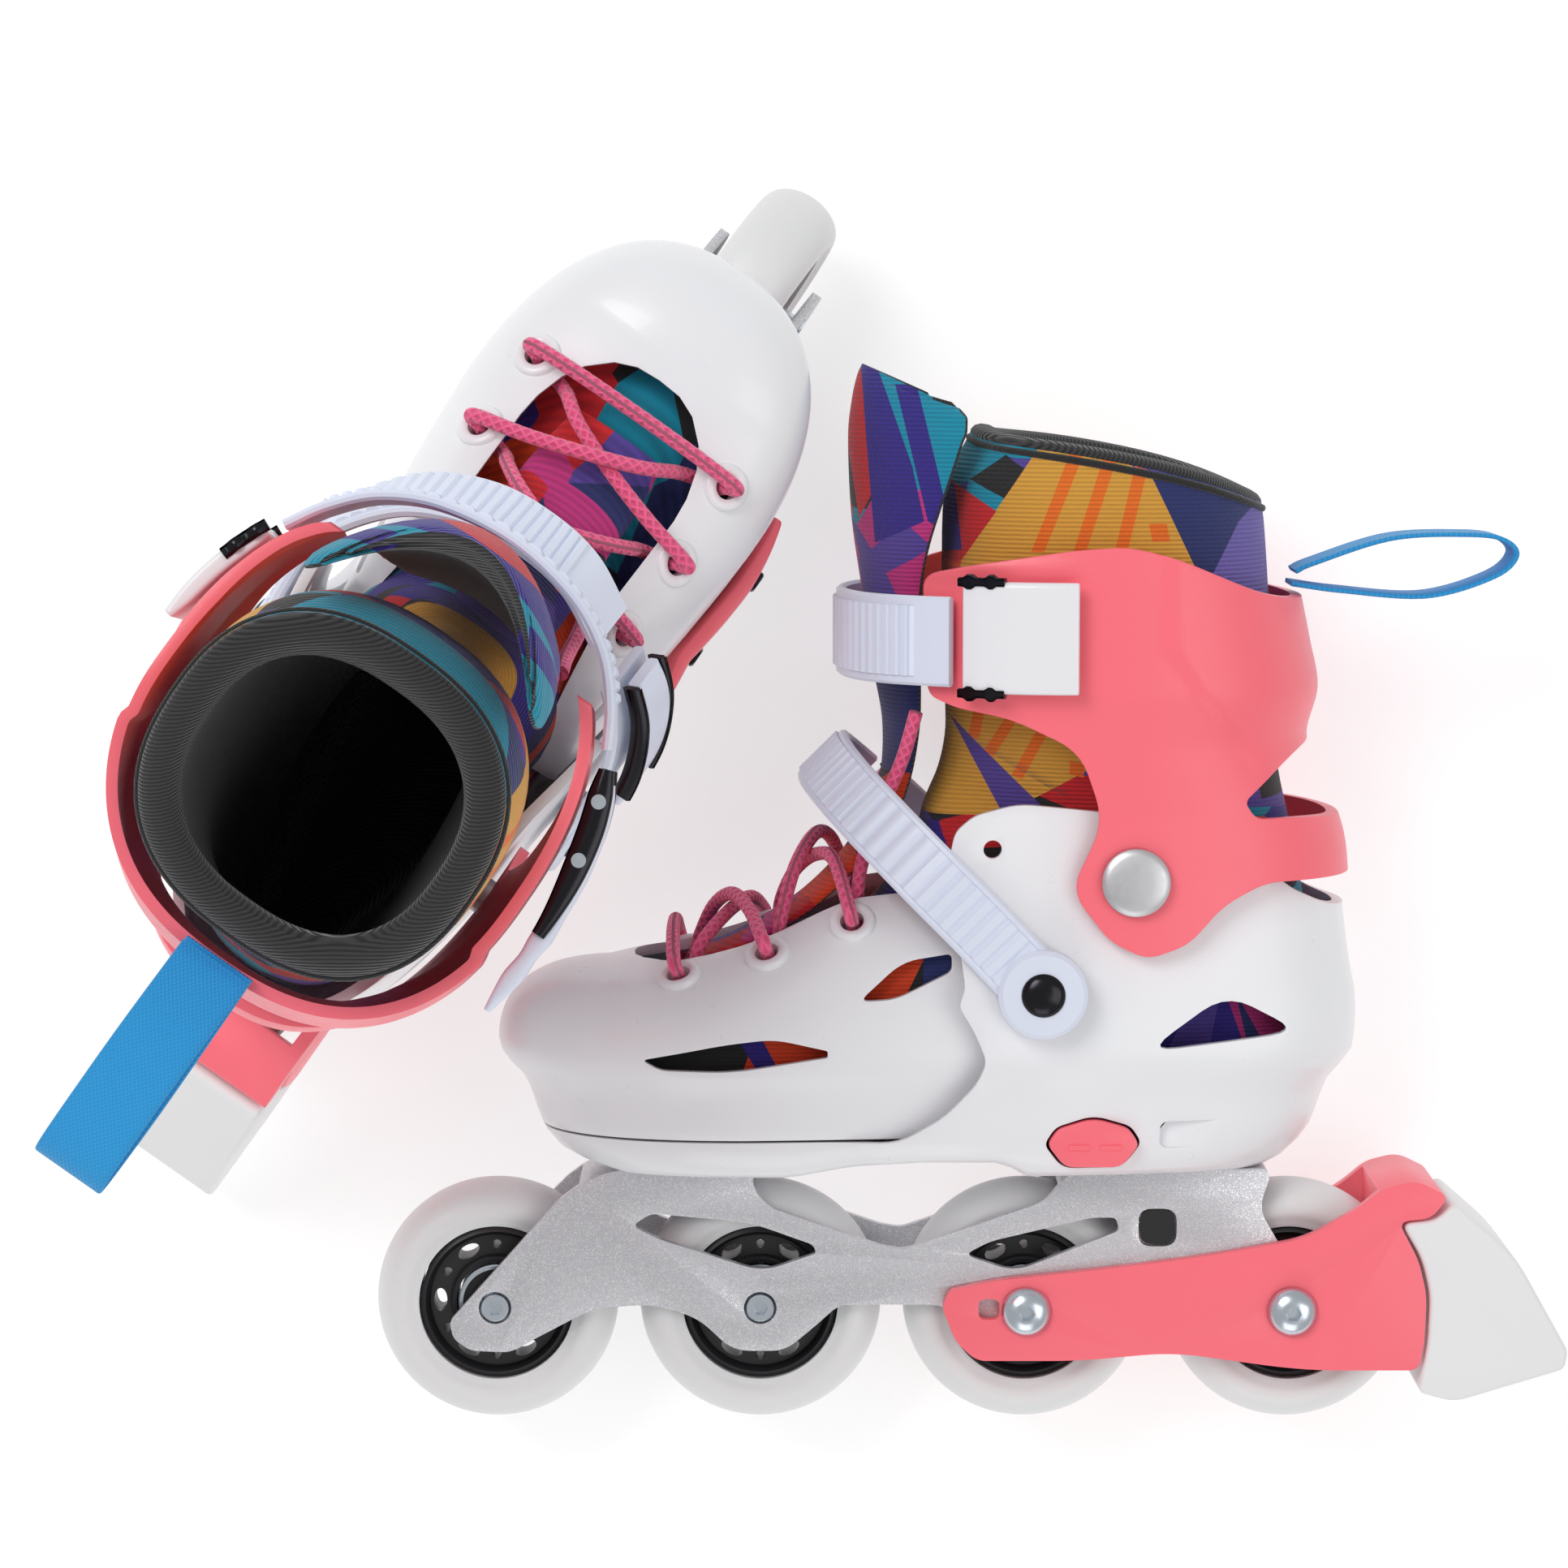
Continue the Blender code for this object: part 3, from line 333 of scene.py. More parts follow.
# ======== materials ========
class Shader:
    """A material with a Principled shader and short calls for its nodes."""

    def __init__(self, name, colour, roughness, metallic=0.0, **sockets):
        self.material = bpy.data.materials.new(name)
        self.material.use_nodes = True
        self.tree = self.material.node_tree
        self.main = self.tree.nodes["Principled BSDF"]
        self.set(self.main, **{"Base Color": (*colour, 1.0), "Roughness": roughness, "Metallic": metallic})
        self.set(self.main, **sockets)

    @staticmethod
    def set(node, **values):
        for key, value in values.items():
            node.inputs[key].default_value = value

    def node(self, kind, inputs=None, **settings):
        made = self.tree.nodes.new("ShaderNode" + kind)
        for key, value in settings.items():
            setattr(made, key, value)
        for key, value in (inputs or {}).items():
            if isinstance(value, bpy.types.NodeSocket):
                self.tree.links.new(value, made.inputs[key])
            else:
                made.inputs[key].default_value = value
        return made

    def local(self):
        return self.node("Attribute", attribute_name="local").outputs["Vector"]

    def math(self, operation, a, b=0.0, c=0.0):
        return self.node("Math", {0: a, 1: b, 2: c}, operation=operation).outputs[0]

    def mix(self, factor, a, b):
        made = self.node("Mix", {0: factor}, data_type="RGBA")
        for index, value in ((6, a), (7, b)):
            if isinstance(value, bpy.types.NodeSocket):
                self.tree.links.new(value, made.inputs[index])
            else:
                made.inputs[index].default_value = (*value, 1.0)
        return made.outputs[2]

    def ramp(self, factor, stops, interpolation="LINEAR"):
        made = self.node("ValToRGB", {0: factor})
        ramp = made.color_ramp
        ramp.interpolation = interpolation
        while len(ramp.elements) < len(stops):
            ramp.elements.new(0.5)
        for element, (place, colour) in zip(ramp.elements, stops):
            element.position = place
            element.color = (*colour, 1.0)
        return made.outputs[0]

    def noise(self, vector, scale, detail=2.0):
        return self.node("TexNoise", {"Vector": vector, "Scale": scale, "Detail": detail}).outputs[0]

    def colour(self, socket):
        self.tree.links.new(socket, self.main.inputs["Base Color"])

    def rough(self, socket):
        self.tree.links.new(socket, self.main.inputs["Roughness"])

    def bump(self, height, distance, strength=1.0):
        made = self.node("Bump", {"Height": height, "Distance": distance * MM, "Strength": strength})
        self.tree.links.new(made.outputs[0], self.main.inputs["Normal"])


def moulded(name, colour, roughness, grain=0.012, **sockets):
    """Injection-moulded plastic: faint tone drift, a fine orange-peel surface."""
    shader = Shader(name, colour, roughness, **sockets)
    place = shader.local()
    drift = shader.noise(place, 0.03, 1.0)
    darker = tuple(c * 0.97 for c in colour)
    shader.colour(shader.mix(drift, darker, colour))
    peel = shader.noise(place, 1.1, 3.0)
    shader.rough(shader.math("MULTIPLY_ADD", shader.noise(place, 0.25, 3.0), 0.12, roughness - 0.06))
    shader.bump(peel, grain)
    return shader.material


def sparkle_alloy():
    shader = Shader("sparkle_alloy", (0.72, 0.72, 0.75), 0.36, 0.6)
    place = shader.local()
    flakes = shader.node("TexVoronoi", {"Vector": place, "Scale": 4.2}, feature="F1")
    bright = shader.math("POWER", shader.node("SeparateColor", {0: flakes.outputs["Color"]}).outputs[0], 3.0)
    shader.colour(shader.ramp(bright, [(0.0, (0.56, 0.56, 0.59)), (0.45, (0.70, 0.70, 0.73)),
                                       (1.0, (1.0, 1.0, 1.0))]))
    shader.rough(shader.math("MULTIPLY_ADD", bright, -0.2, 0.45))
    shader.bump(bright, 0.03)
    return shader.material


def plated(name, colour, roughness):
    shader = Shader(name, colour, roughness, 1.0)
    place = shader.local()
    shader.rough(shader.math("MULTIPLY_ADD", shader.noise(place, 0.5, 4.0), 0.16, roughness - 0.08))
    shader.bump(shader.noise(place, 2.0, 2.0), 0.01)
    return shader.material


def weave(name, colour, period, depth, roughness=0.85):
    """Woven webbing: ribs across it and finer threads along it, with painted shade darkening the low parts of the
    weave.
    """
    shader = Shader(name, colour, roughness, **{"Sheen Weight": 0.25})
    place = shader.local()
    parts = shader.node("SeparateXYZ", {0: place})
    along = shader.math("SINE", shader.math("MULTIPLY", parts.outputs[0], 2 * math.pi / period))
    across = shader.math("SINE", shader.math("MULTIPLY", parts.outputs[1], 2 * math.pi / (period * 0.8)))
    height = shader.math("MULTIPLY_ADD", shader.math("MULTIPLY", along, across), 0.25, 0.5)
    # painted shade: the weave's low parts take a darker copy of its colour
    groove_shade_colour = tuple(c * 0.62 for c in colour)
    shader.colour(shader.mix(height, groove_shade_colour, colour))
    shader.bump(height, depth)
    return shader.material


def lining():
    """Black twill inside the boot, with painted shade darkening the low parts of its ribs."""
    shader = Shader("black_lining", (0.012, 0.012, 0.014), 0.92, **{"Sheen Weight": 0.3})
    parts = shader.node("SeparateXYZ", {0: shader.local()})
    slant = shader.math("ADD", shader.math("ADD", parts.outputs[0], parts.outputs[1]), parts.outputs[2])
    ribs = shader.math("SINE", shader.math("MULTIPLY", slant, 2 * math.pi / 1.5))
    height = shader.math("MULTIPLY_ADD", ribs, 0.5, 0.5)
    # painted shade: the low parts of the ribs are coloured darker
    shader.colour(shader.mix(height, (0.006, 0.006, 0.007), (0.035, 0.035, 0.038)))
    shader.bump(height, 0.35)
    return shader.material


def braid():
    """The lace's round braid, from angle and length kept on the mesh, with painted shade darkening the low parts
    between strands.
    """
    pink = (0.97, 0.125, 0.30)
    shader = Shader("braided_lace", pink, 0.75, **{"Sheen Weight": 0.3})
    turn = shader.node("Attribute", attribute_name="braid")
    parts = shader.node("SeparateXYZ", {0: turn.outputs["Vector"]})
    right = shader.math("SINE", shader.math("ADD", shader.math("MULTIPLY", parts.outputs[0], 4.0),
                                            parts.outputs[1]))
    left = shader.math("SINE", shader.math("SUBTRACT", shader.math("MULTIPLY", parts.outputs[0], 4.0),
                                           parts.outputs[1]))
    height = shader.math("MAXIMUM", right, left)
    # painted shade: the braid's low parts between strands take a darker pink
    shader.colour(shader.mix(shader.math("MULTIPLY_ADD", height, 0.4, 0.6), (0.72, 0.05, 0.17), pink))
    shader.bump(height, 0.35)
    return shader.material


TEAL, MUSTARD, ORANGE, RED = (0.0, 0.28, 0.42), (0.72, 0.36, 0.045), (0.86, 0.17, 0.012), (0.62, 0.012, 0.02)
NAVY, INDIGO, PURPLE, LILAC = (0.018, 0.03, 0.15), (0.03, 0.015, 0.25), (0.09, 0.055, 0.33), (0.16, 0.12, 0.45)
MAGENTA, BLACK, FLAME = (0.55, 0.03, 0.22), (0.012, 0.012, 0.014), (0.78, 0.06, 0.01)

# The liner's print in the side view: colour, outline (x, z), painted in this order.
LINER_PRINT = [
    (NAVY, [(-70, 276), (-112, 276), (-112, 200), (-84, 205)]),
    (LILAC, [(-96, 262), (-112, 276), (-112, 225), (-88, 247)]),
    (PURPLE, [(-68, 280), (-84, 273), (-76, 256), (-84, 236)]),
    (MUSTARD, [(-43, 290), (-70.7, 275), (-84, 248), (-80, 225), (-14, 225), (-19, 252), (-27, 264)]),
    (TEAL, [(-5, 262), (-14, 290), (-35, 292), (-44, 285), (-27, 264), (-16, 270)]),
    (RED, [(-4, 252), (-4, 262), (-16, 273), (-28, 265), (-18, 250)]),
    (INDIGO, [(-4, 250), (-11, 274), (-17, 272), (-20, 254)]),
    (RED, [(-17, 271), (-28, 265), (-19, 252)]),
    (ORANGE, [(-49, 284), (-52.5, 283), (-41, 254), (-37.5, 254)]),
    (ORANGE, [(-57.5, 281), (-61, 280), (-52.5, 254), (-49, 254)]),
    (ORANGE, [(-66, 278), (-69.5, 277), (-64, 254), (-60.5, 254)]),
    (ORANGE, [(-70, 262), (-75, 262), (-76, 257), (-71, 257)]),
    (MUSTARD, [(-8, 214), (-52, 214), (-60, 178), (-30, 178), (-8, 165)]),
    (ORANGE, [(-23, 212), (-26, 212), (-24, 200), (-21, 200)]),
    (ORANGE, [(-33, 210), (-36.5, 210), (-28, 195), (-25, 196)]),
    (ORANGE, [(-42, 208), (-45.5, 208), (-36, 189), (-33, 190)]),
    (ORANGE, [(-49, 195), (-53, 194), (-53, 190), (-49, 191)]),
    (PURPLE, [(-16, 206), (-43, 180), (-30, 180)]),
    (PURPLE, [(-96, 199), (-112, 199), (-112, 180), (-92, 182)]),
    (BLACK, [(-99, 204), (-109, 206), (-112, 184), (-104, 183)]),
    (MAGENTA, [(-108, 214), (-112, 214), (-118, 180), (-112, 180)]),
    (INDIGO, [(-66, 112), (-66, 140), (-125, 140), (-125, 112)]),
    (PURPLE, [(-78, 112), (-84, 124), (-93, 130), (-90, 112)]),
    (MAGENTA, [(-93, 131), (-100, 112), (-122, 112), (-112, 124)]),
    (NAVY, [(-97, 128), (-101, 112), (-106, 112)]),
    (BLACK, [(74, 104), (74, 119), (36, 120), (42, 104)]),
    (FLAME, [(44, 104), (38, 121), (14, 121), (14, 104)]),
    (INDIGO, [(46, 119), (39, 119), (31, 104), (37, 104)]),
    (INDIGO, [(16, 124), (10, 124), (-6, 142), (-1, 142)]),
    (FLAME, [(-1, 124), (12, 124), (0, 142), (-10, 142)]),
    (NAVY, [(-8, 126), (-20, 126), (-20, 143), (-8, 143)]),
]
TONGUE_PRINT = [
    (MAGENTA, [(-30, 268), (4, 272), (16, 250), (16, 218), (-30, 218)]),
    (PURPLE, [(-2, 262), (10, 250), (8, 236), (-30, 232), (-30, 238)]),
    (RED, [(16, 302), (9, 306), (6, 270), (10, 262)]),
    (INDIGO, [(10, 308), (2, 308), (-8, 262), (6, 255), (8, 284)]),
    (TEAL, [(5, 305), (-30, 300), (-30, 250), (-10, 262)]),
    (INDIGO, [(0, 300), (-6, 300), (-16, 258), (-9, 262)]),
    (MAGENTA, [(4, 232), (-30, 232), (-30, 224), (4, 222)]),
    (NAVY, [(6, 222), (-30, 226), (-30, 190), (4, 190)]),
    (MAGENTA, [(-30, 224), (-30, 266), (-6, 262), (4, 246), (14, 240), (8, 222)]),
    (PURPLE, [(12, 262), (8, 242), (-4, 222), (-9, 222), (2, 246)]),
]


def knit(name, print_areas, seed):
    """Ribbed knit with a print: a patchwork of slanting patches under the placed areas, and painted shade
    darkening the valleys of the ribs.
    """
    shader = Shader(name, NAVY, 0.85, **{"Sheen Weight": 0.2})
    place = shader.local()
    slanted = shader.node("Mapping", {"Vector": place, "Location": (seed, 3.0, 1.0),
                                      "Rotation": (0.2, 0.75, 0.5), "Scale": (0.024, 0.055, 0.10)}).outputs[0]
    cells = shader.node("TexVoronoi", {"Vector": slanted, "Scale": 1.0, "Randomness": 0.9}, feature="F1")
    pick = shader.node("SeparateColor", {0: cells.outputs["Color"]}).outputs[0]
    patches = [BLACK, INDIGO, NAVY, FLAME, BLACK, PURPLE, MAGENTA, TEAL, NAVY, RED]
    paint = shader.ramp(pick, [(k / len(patches), c) for k, c in enumerate(patches)], "CONSTANT")
    flat = shader.node("SeparateXYZ", {0: place})
    side = shader.node("CombineXYZ", {0: flat.outputs[0], 1: flat.outputs[2], 2: 1.0}).outputs[0]
    for colour, outline in print_areas:
        inside = None
        turn = sum(a[0] * b[1] - b[0] * a[1] for a, b in zip(outline, outline[1:] + outline[:1]))
        for (x0, z0), (x1, z1) in zip(outline, outline[1:] + outline[:1]):
            sign = 1 if turn > 0 else -1
            line = (-(z1 - z0) * sign, (x1 - x0) * sign, ((z1 - z0) * x0 - (x1 - x0) * z0) * sign)
            edge = shader.node("VectorMath", {0: side, 1: line}, operation="DOT_PRODUCT").outputs["Value"]
            inside = edge if inside is None else shader.math("MINIMUM", inside, edge)
        paint = shader.mix(shader.math("GREATER_THAN", inside, 0.0), paint, colour)
    ribs = shader.math("SINE", shader.math("MULTIPLY", flat.outputs[2], 2 * math.pi / 1.25))
    loops = shader.noise(place, 1.6, 2.0)
    height = shader.math("MULTIPLY_ADD", ribs, 0.3, shader.math("MULTIPLY", loops, 0.6))
    # painted shade: the print is multiplied darker in the valleys of the ribs
    painted_rib_shade = shader.math("MULTIPLY_ADD", ribs, 0.13, 0.87)
    paint_with_rib_shade = shader.node("Mix", {0: 1.0}, data_type="RGBA", blend_type="MULTIPLY")
    shader.tree.links.new(paint, paint_with_rib_shade.inputs[6])
    rib_shade_grey = shader.node("CombineXYZ", {0: painted_rib_shade, 1: painted_rib_shade, 2: painted_rib_shade})
    shader.tree.links.new(rib_shade_grey.outputs[0], paint_with_rib_shade.inputs[7])
    shader.colour(paint_with_rib_shade.outputs[2])
    shader.bump(height, 0.3)
    return shader.material


LOOKS = {
    "shell": moulded("white_shell", (0.85, 0.855, 0.88), 0.3, **{"Coat Weight": 0.15}),
    "coral": moulded("coral_plastic", (1.0, 0.165, 0.21), 0.38),
    "strap": moulded("strap_plastic", (0.74, 0.79, 0.92), 0.36),
    "urethane": moulded("urethane", (0.78, 0.78, 0.785), 0.42, grain=0.006, **{"Subsurface Weight": 0.15,
                                                                               "Subsurface Scale": 0.004}),
    "pad": moulded("white_rubber", (0.82, 0.82, 0.83), 0.48),
    "hub": moulded("hub_black", (0.016, 0.016, 0.018), 0.38),
    "rubber": moulded("black_plastic", (0.014, 0.014, 0.015), 0.3),
    "alloy": sparkle_alloy(),
    "zinc": plated("zinc_steel", (0.62, 0.68, 0.74), 0.26),
    "satin": plated("satin_alloy", (0.64, 0.64, 0.66), 0.42),
    "black": plated("black_nickel", (0.03, 0.03, 0.034), 0.2),
    "webbing": weave("blue_webbing", (0.02, 0.37, 0.82), 1.5, 0.4),
    "piping": weave("black_piping", (0.014, 0.014, 0.015), 1.2, 0.3),
    "lining": lining(),
    "knit": knit("printed_knit", LINER_PRINT, 2.0),
    "tongue": knit("printed_tongue", TONGUE_PRINT, 5.0),
    "lace": braid(),
}


# ======== the boot's shape, as in the CAD but with smooth curves ========
TOE_X, HEEL_X, LIP_Z, TOE_BACK_X = 113.7, -133.5, 88.0, -32.0
SIDE_Z = 112.0
WALL = 3.0
DECK_TOP = 75.7
PIVOT = (-67.0, 162.0)
PIVOT_BORE = 5.6
TOE_POWER = 2.3
GROWTH = [(74, 0.79), (78, 0.83), (84, 0.88), (88, 0.9), (101, 0.94), (108, 0.99), (114, 1.0), (125, 1.0),
          (135, 0.985), (153, 0.967), (185, 0.955)]
TOE_TOP = [(-60, 168), (-10, 168), (14, 160), (36, 148), (62, 138.5), (76, 136), (95, 131), (106, 125),
           (TOE_X, 118)]


def toe_half_width(x):
    if x > 48:
        return 47 * superellipse((x - 48) / (TOE_X - 48), 2.35)
    return 47 - 0.062 * (48 - x) - 0.0006 * (48 - x) ** 2


def base_half_width(x):
    if x > 20:
        return toe_half_width(x) + 0.3
    if x > -45:
        return eased([(-45, 43.8), (-20, 47.9), (0, 48.2), (20, toe_half_width(20) + 0.3)], x)
    t = (x + 45) / (HEEL_X + 45)
    return (41 + 2.8 * max(0.0, 1 - 2.2 * t)) * superellipse(t, 2.5)


def grown(x, y, z):
    scale = eased(GROWTH, z)
    return Vector((-10 + (x + 10) * scale, y * scale, z))


def sole_height(x):
    seat = DECK_TOP + 0.4
    return linear([(-44, seat), (-34, seat + 4.5), (-8, seat + 5), (14, seat + 3.5), (38, seat), (96, seat),
                   (112, seat + 3)], x)


def toe_top(x):
    return linear(TOE_TOP, x) * 0.5 + eased(TOE_TOP, x) * 0.5


def toe_surface(x, y):
    share = superellipse(y / toe_half_width(x), TOE_POWER)
    return Vector((x, y, SIDE_Z + (toe_top(x) - SIDE_Z) * share))


def toe_normal(x, y):
    along = toe_surface(x + 1, y) - toe_surface(x - 1, y)
    around = toe_surface(x, y + 1) - toe_surface(x, y - 1)
    normal = along.cross(around).normalized()
    return normal if normal.z > 0 else -normal


EYELETS = [(x, y * side) for side in (1, -1) for x, y in ((61.0, 31.5), (36.0, 32.5), (12.0, 32.0))]
BASE_OUTLINE = [(140, 60), (140, 87.3), (-1, 87.3), (-14, 95), (-22.5, 104), (-25.7, 111), (-22, 120),
                (-17.7, 127), (-19.5, 132), (-17, 150), (-15, 169), (-16.5, 176), (-22, 180.5), (-34, 183.5),
                (-58, 181), (-92, 176), (-112, 158), (-124, 152), (-150, 150), (-150, 60)]
HEEL_WINDOW = [(-70, 113), (-93.4, 129.3), (-115, 117.5)]
BUTTON_EDGE = [(-43, 86.5), (-48, 80), (-64, 80), (-69, 86.5), (-66, 91), (-56, 94), (-46, 91)]
BUTTON_X, BUTTON_Z = -56, 87
BUTTON_FACE = grown(BUTTON_X, base_half_width(BUTTON_X), BUTTON_Z).y


def boot_shell(skate):
    middle, half = (TOE_X - 0.5 + HEEL_X) / 2, (TOE_X - 0.5 - HEEL_X) / 2
    stations = [middle + half * math.cos(math.pi * k / 63) for k in range(64)]
    left = [(x, base_half_width(x)) for x in stations]
    loop = left + [(x, -w) for x, w in left[-2:0:-1]]

    def under(x, w, share, drop):
        edge = grown(x, w, sole_height(x))
        centre_x = min(max(edge.x, HEEL_X + 38), TOE_X - 38)
        return (centre_x + (edge.x - centre_x) * share, edge.y * share, sole_height(x) + drop)

    rows = [[under(x, w, share, drop) for x, w in loop] for share, drop in ((0.9, 0.0), (0.965, 0.5))]
    for k in range(26):
        row = []
        for x, w in loop:
            low = sole_height(x) + 2.5
            row.append(grown(x, w, low + (188 - low) * k / 25))
        rows.append(row)
    hole = [(BUTTON_X + (x - BUTTON_X) * 1.07, BUTTON_Z + (z - BUTTON_Z) * 1.12) for x, z in BUTTON_EDGE]
    label = rounded([(-75, 84.5), (-75, 92.5), (-106, 92.5), (-106, 84.5)])
    cuts = [prism(rounded(hole), BUTTON_FACE - 9, BUTTON_FACE + 12), slab(HEEL_WINDOW, 60),
            drill(*PIVOT, PIVOT_BORE, 40, 70), prism(label, grown(-92, base_half_width(-92), 88).y - 1.2, 60),
            drill(-27, 171, 2.6, 24, 60)]
    skate.piece("shell_base", grid_mesh(rows, closed=True, bottom=True), "shell", "chassis", ("boot_shell",),
                wall=WALL, cuts=cuts, keeps=[slab(BASE_OUTLINE, 70, 4)], bevel=0.6)


THROAT = [(74.5, 0), (74, 7), (71.5, 13), (66, 19), (60, 22.5), (52, 24.8), (45, 25.5), (20, 25), (10, 25.2),
          (4, 26.2), (-8, 27.8), (-20, 29.6), (-40, 32)]
WING_WINDOW = [(10.5, 127.5), (0, 128), (-16, 135.5), (-16, 140.5), (-2, 138.5)]
TOE_WINDOW = [(71.5, 111.5), (66, 108.5), (46, 108), (19, 112), (19, 114), (34, 117.5), (48, 116)]


def ring_about(point, normal, profile, sides=40):
    """A turned shape whose axis (its y) points along the normal."""
    mesh = lathe(profile, sides=sides)
    turn = LEFT.rotation_difference(Vector(normal)).to_matrix().to_4x4()
    mesh.transform(Matrix.Translation(Vector(point)) @ turn)
    return mesh


def toe_shell(skate):
    nose = [TOE_X - 34 + 34 * math.sin(math.pi / 2 * k / 24) for k in range(24, 0, -1)]
    stations = [TOE_BACK_X + (TOE_X - 34 - TOE_BACK_X) * k / 36 for k in range(36, -1, -1)]
    left = [(x, toe_half_width(x)) for x in nose + stations]
    loop = [(x, -w) for x, w in left[::-1]] + left[1:]
    rows = [[grown(x, w, z) for x, w in loop] for z in (LIP_Z, 91.0, 94.5, 98.0, 102.0, 106.0, 109.0)]
    for k in range(26):
        angle = math.pi / 2 * k / 25
        row = []
        for x, w in loop:
            spine_x = min(x, TOE_X - 32)
            plan, lift = (part ** (2 / TOE_POWER) for part in (math.cos(angle), math.sin(angle)))
            row.append((spine_x + (x - spine_x) * plan, w * plan, SIDE_Z + (toe_top(spine_x) - SIDE_Z) * lift))
        rows.append(row)
    outline = THROAT + [(x, -y) for x, y in THROAT[:0:-1]]
    cuts = [prism(outline, 118, 195, upright=True), slab(TOE_WINDOW, 60), slab(WING_WINDOW, 60)]
    rings = []
    for x, y in EYELETS:
        point, normal = toe_surface(x, y), toe_normal(x, y)
        cuts.append(rod(point - normal * 9, point + normal * 7, 3.4, 28))
        rings.append(ring_about(point, normal, [(3.4, -1.5), (6.6, -1.5), (6.6, 0.8), (6.0, 1.5), (4.3, 1.6),
                                                (3.4, 0.9)]))
    skate.piece("shell_toe", grid_mesh(rows), "shell", "toe", ("toe_shell",), wall=WALL, cuts=cuts, bevel=0.6)
    skate.piece("eyelet_rings", joined(*rings), "shell", "toe", smooth=50)


CUFF_BACK = [(134, -131), (161, -131), (176, -128.5), (190, -121), (200, -117), (214, -120), (228, -117.5),
             (240, -115), (262, -110)]
CUFF_HALF_WIDTH = [(134, 45.5), (162, 46.0), (180, 47.5), (200, 51), (215, 54.5), (262, 55)]
CUFF_EDGE = [(-7.4, 247.5), (-20, 250.5), (-49, 255), (-64, 256), (-78, 252.5), (-106, 240.5), (-145, 238),
             (-145, 200), (-115.6, 200), (-97.5, 184), (-101, 179), (-116.6, 178.7), (-145, 175.6), (-145, 161),
             (-104, 161), (-92, 155), (-82, 144), (-70.5, 140), (-60, 145), (-49, 159), (-58, 179), (-51, 199),
             (-32, 208), (-16, 211), (-9, 214)]


CUFF_AXIS_X, CUFF_REACH = -60.0, 68.0
CUFF_OPENING = 24            # degrees to each side of the front
CUFF_FOOT, CUFF_TOP = 134, 262


def cuff_point(angle, z, grow=0.0):
    back, wide = eased(CUFF_BACK, z), linear(CUFF_HALF_WIDTH, z) + grow
    c, s = math.cos(angle), math.sin(angle)
    length = (CUFF_REACH if c > 0 else CUFF_AXIS_X - back) + grow
    return Vector((CUFF_AXIS_X + squarish(c) * length, squarish(s) * wide, z))


def cuff(skate):
    sweep = 360 - 2 * CUFF_OPENING
    angles = [math.radians(CUFF_OPENING + sweep * k / 160) for k in range(161)]

    def sculpted(angle, z):
        """The cuff's face, with a raised spine behind a slanting edge and a frame for the clasp."""
        point = cuff_point(angle, z)
        edge = linear([(190, -104), (208, -88), (228, -74), (262, -74)], z)
        spine = min(1.0, max(0.0, (edge - point.x) / 2.5)) * min(1.0, max(0.0, (z - 192) / 4))
        frame_x = min(1.0, max(0.0, (point.x + 54) / 2.0)) * min(1.0, max(0.0, (abs(z - 231) - 15.8) / 1.5))
        brow = min(1.0, max(0.0, (14 - abs(z - 240)) / 3)) if point.y > 0 else 0.0
        return cuff_point(angle, z, 1.5 * spine + 0.9 * frame_x * brow)

    heights = [CUFF_FOOT + (CUFF_TOP - CUFF_FOOT) * k / 80 for k in range(81)]
    rows = [[sculpted(angle, z) for angle in angles] for z in heights]
    skate.piece("cuff_wall", grid_mesh(rows), "coral", "cuff", ("cuff",), wall=WALL,
                cuts=[drill(*PIVOT, PIVOT_BORE, 40, 70)], keeps=[slab(CUFF_EDGE, 70)], bevel=0.7)


def rivets(skate):
    outer = linear(CUFF_HALF_WIDTH, PIVOT[1] + 9.7) + 0.4
    inner = linear(CUFF_HALF_WIDTH, PIVOT[1]) - 8.5
    for name, side in (("left", 1), ("right", -1)):
        profile = [(0.01, outer + 2.6), (4.5, outer + 2.5), (7.6, outer + 2.2), (8.9, outer + 1.8),
                   (9.5, outer + 1.3), (9.7, outer + 0.7), (9.7, outer), (5.0, outer), (5.0, inner), (0.01, inner)]
        profile = [(r, h * side) for r, h in profile]
        mesh = lathe(profile, (PIVOT[0], 0, PIVOT[1]), 56)
        skate.piece("ankle_rivet_" + name, mesh, "satin", "chassis", ("cuff_rivet_" + name,), smooth=30)


# ======== soft parts ========
LINER_SECTIONS = [
    ((102.0, 113), (102.0, 99), 9.0), ((97.0, 117), (97.0, 92), 20.0), ((86.0, 121), (87.0, 88), 30.0),
    ((68.0, 124.5), (68.0, 86), 36.5), ((46.0, 130), (42.0, 86), 38.0), ((19.0, 140.5), (10.0, 86), 36.5),
    ((-3.0, 163), (-30.0, 87), 34.5), ((-9.0, 180), (-72.0, 83), 33.5), ((-13.0, 190), (-114.0, 95), 27.0),
    ((-15.0, 200), (-121.0, 130), 31.0), ((-15.0, 210), (-116.0, 165), 35.0),
    ((-15.0, 222), (-109.5, 197), 39.0), ((-14.0, 246), (-107.5, 236), 44.0),
    ((-15.0, 270), (-106.0, 258), 45.0), ((-22.0, 282), (-105.0, 266), 44.0),
]
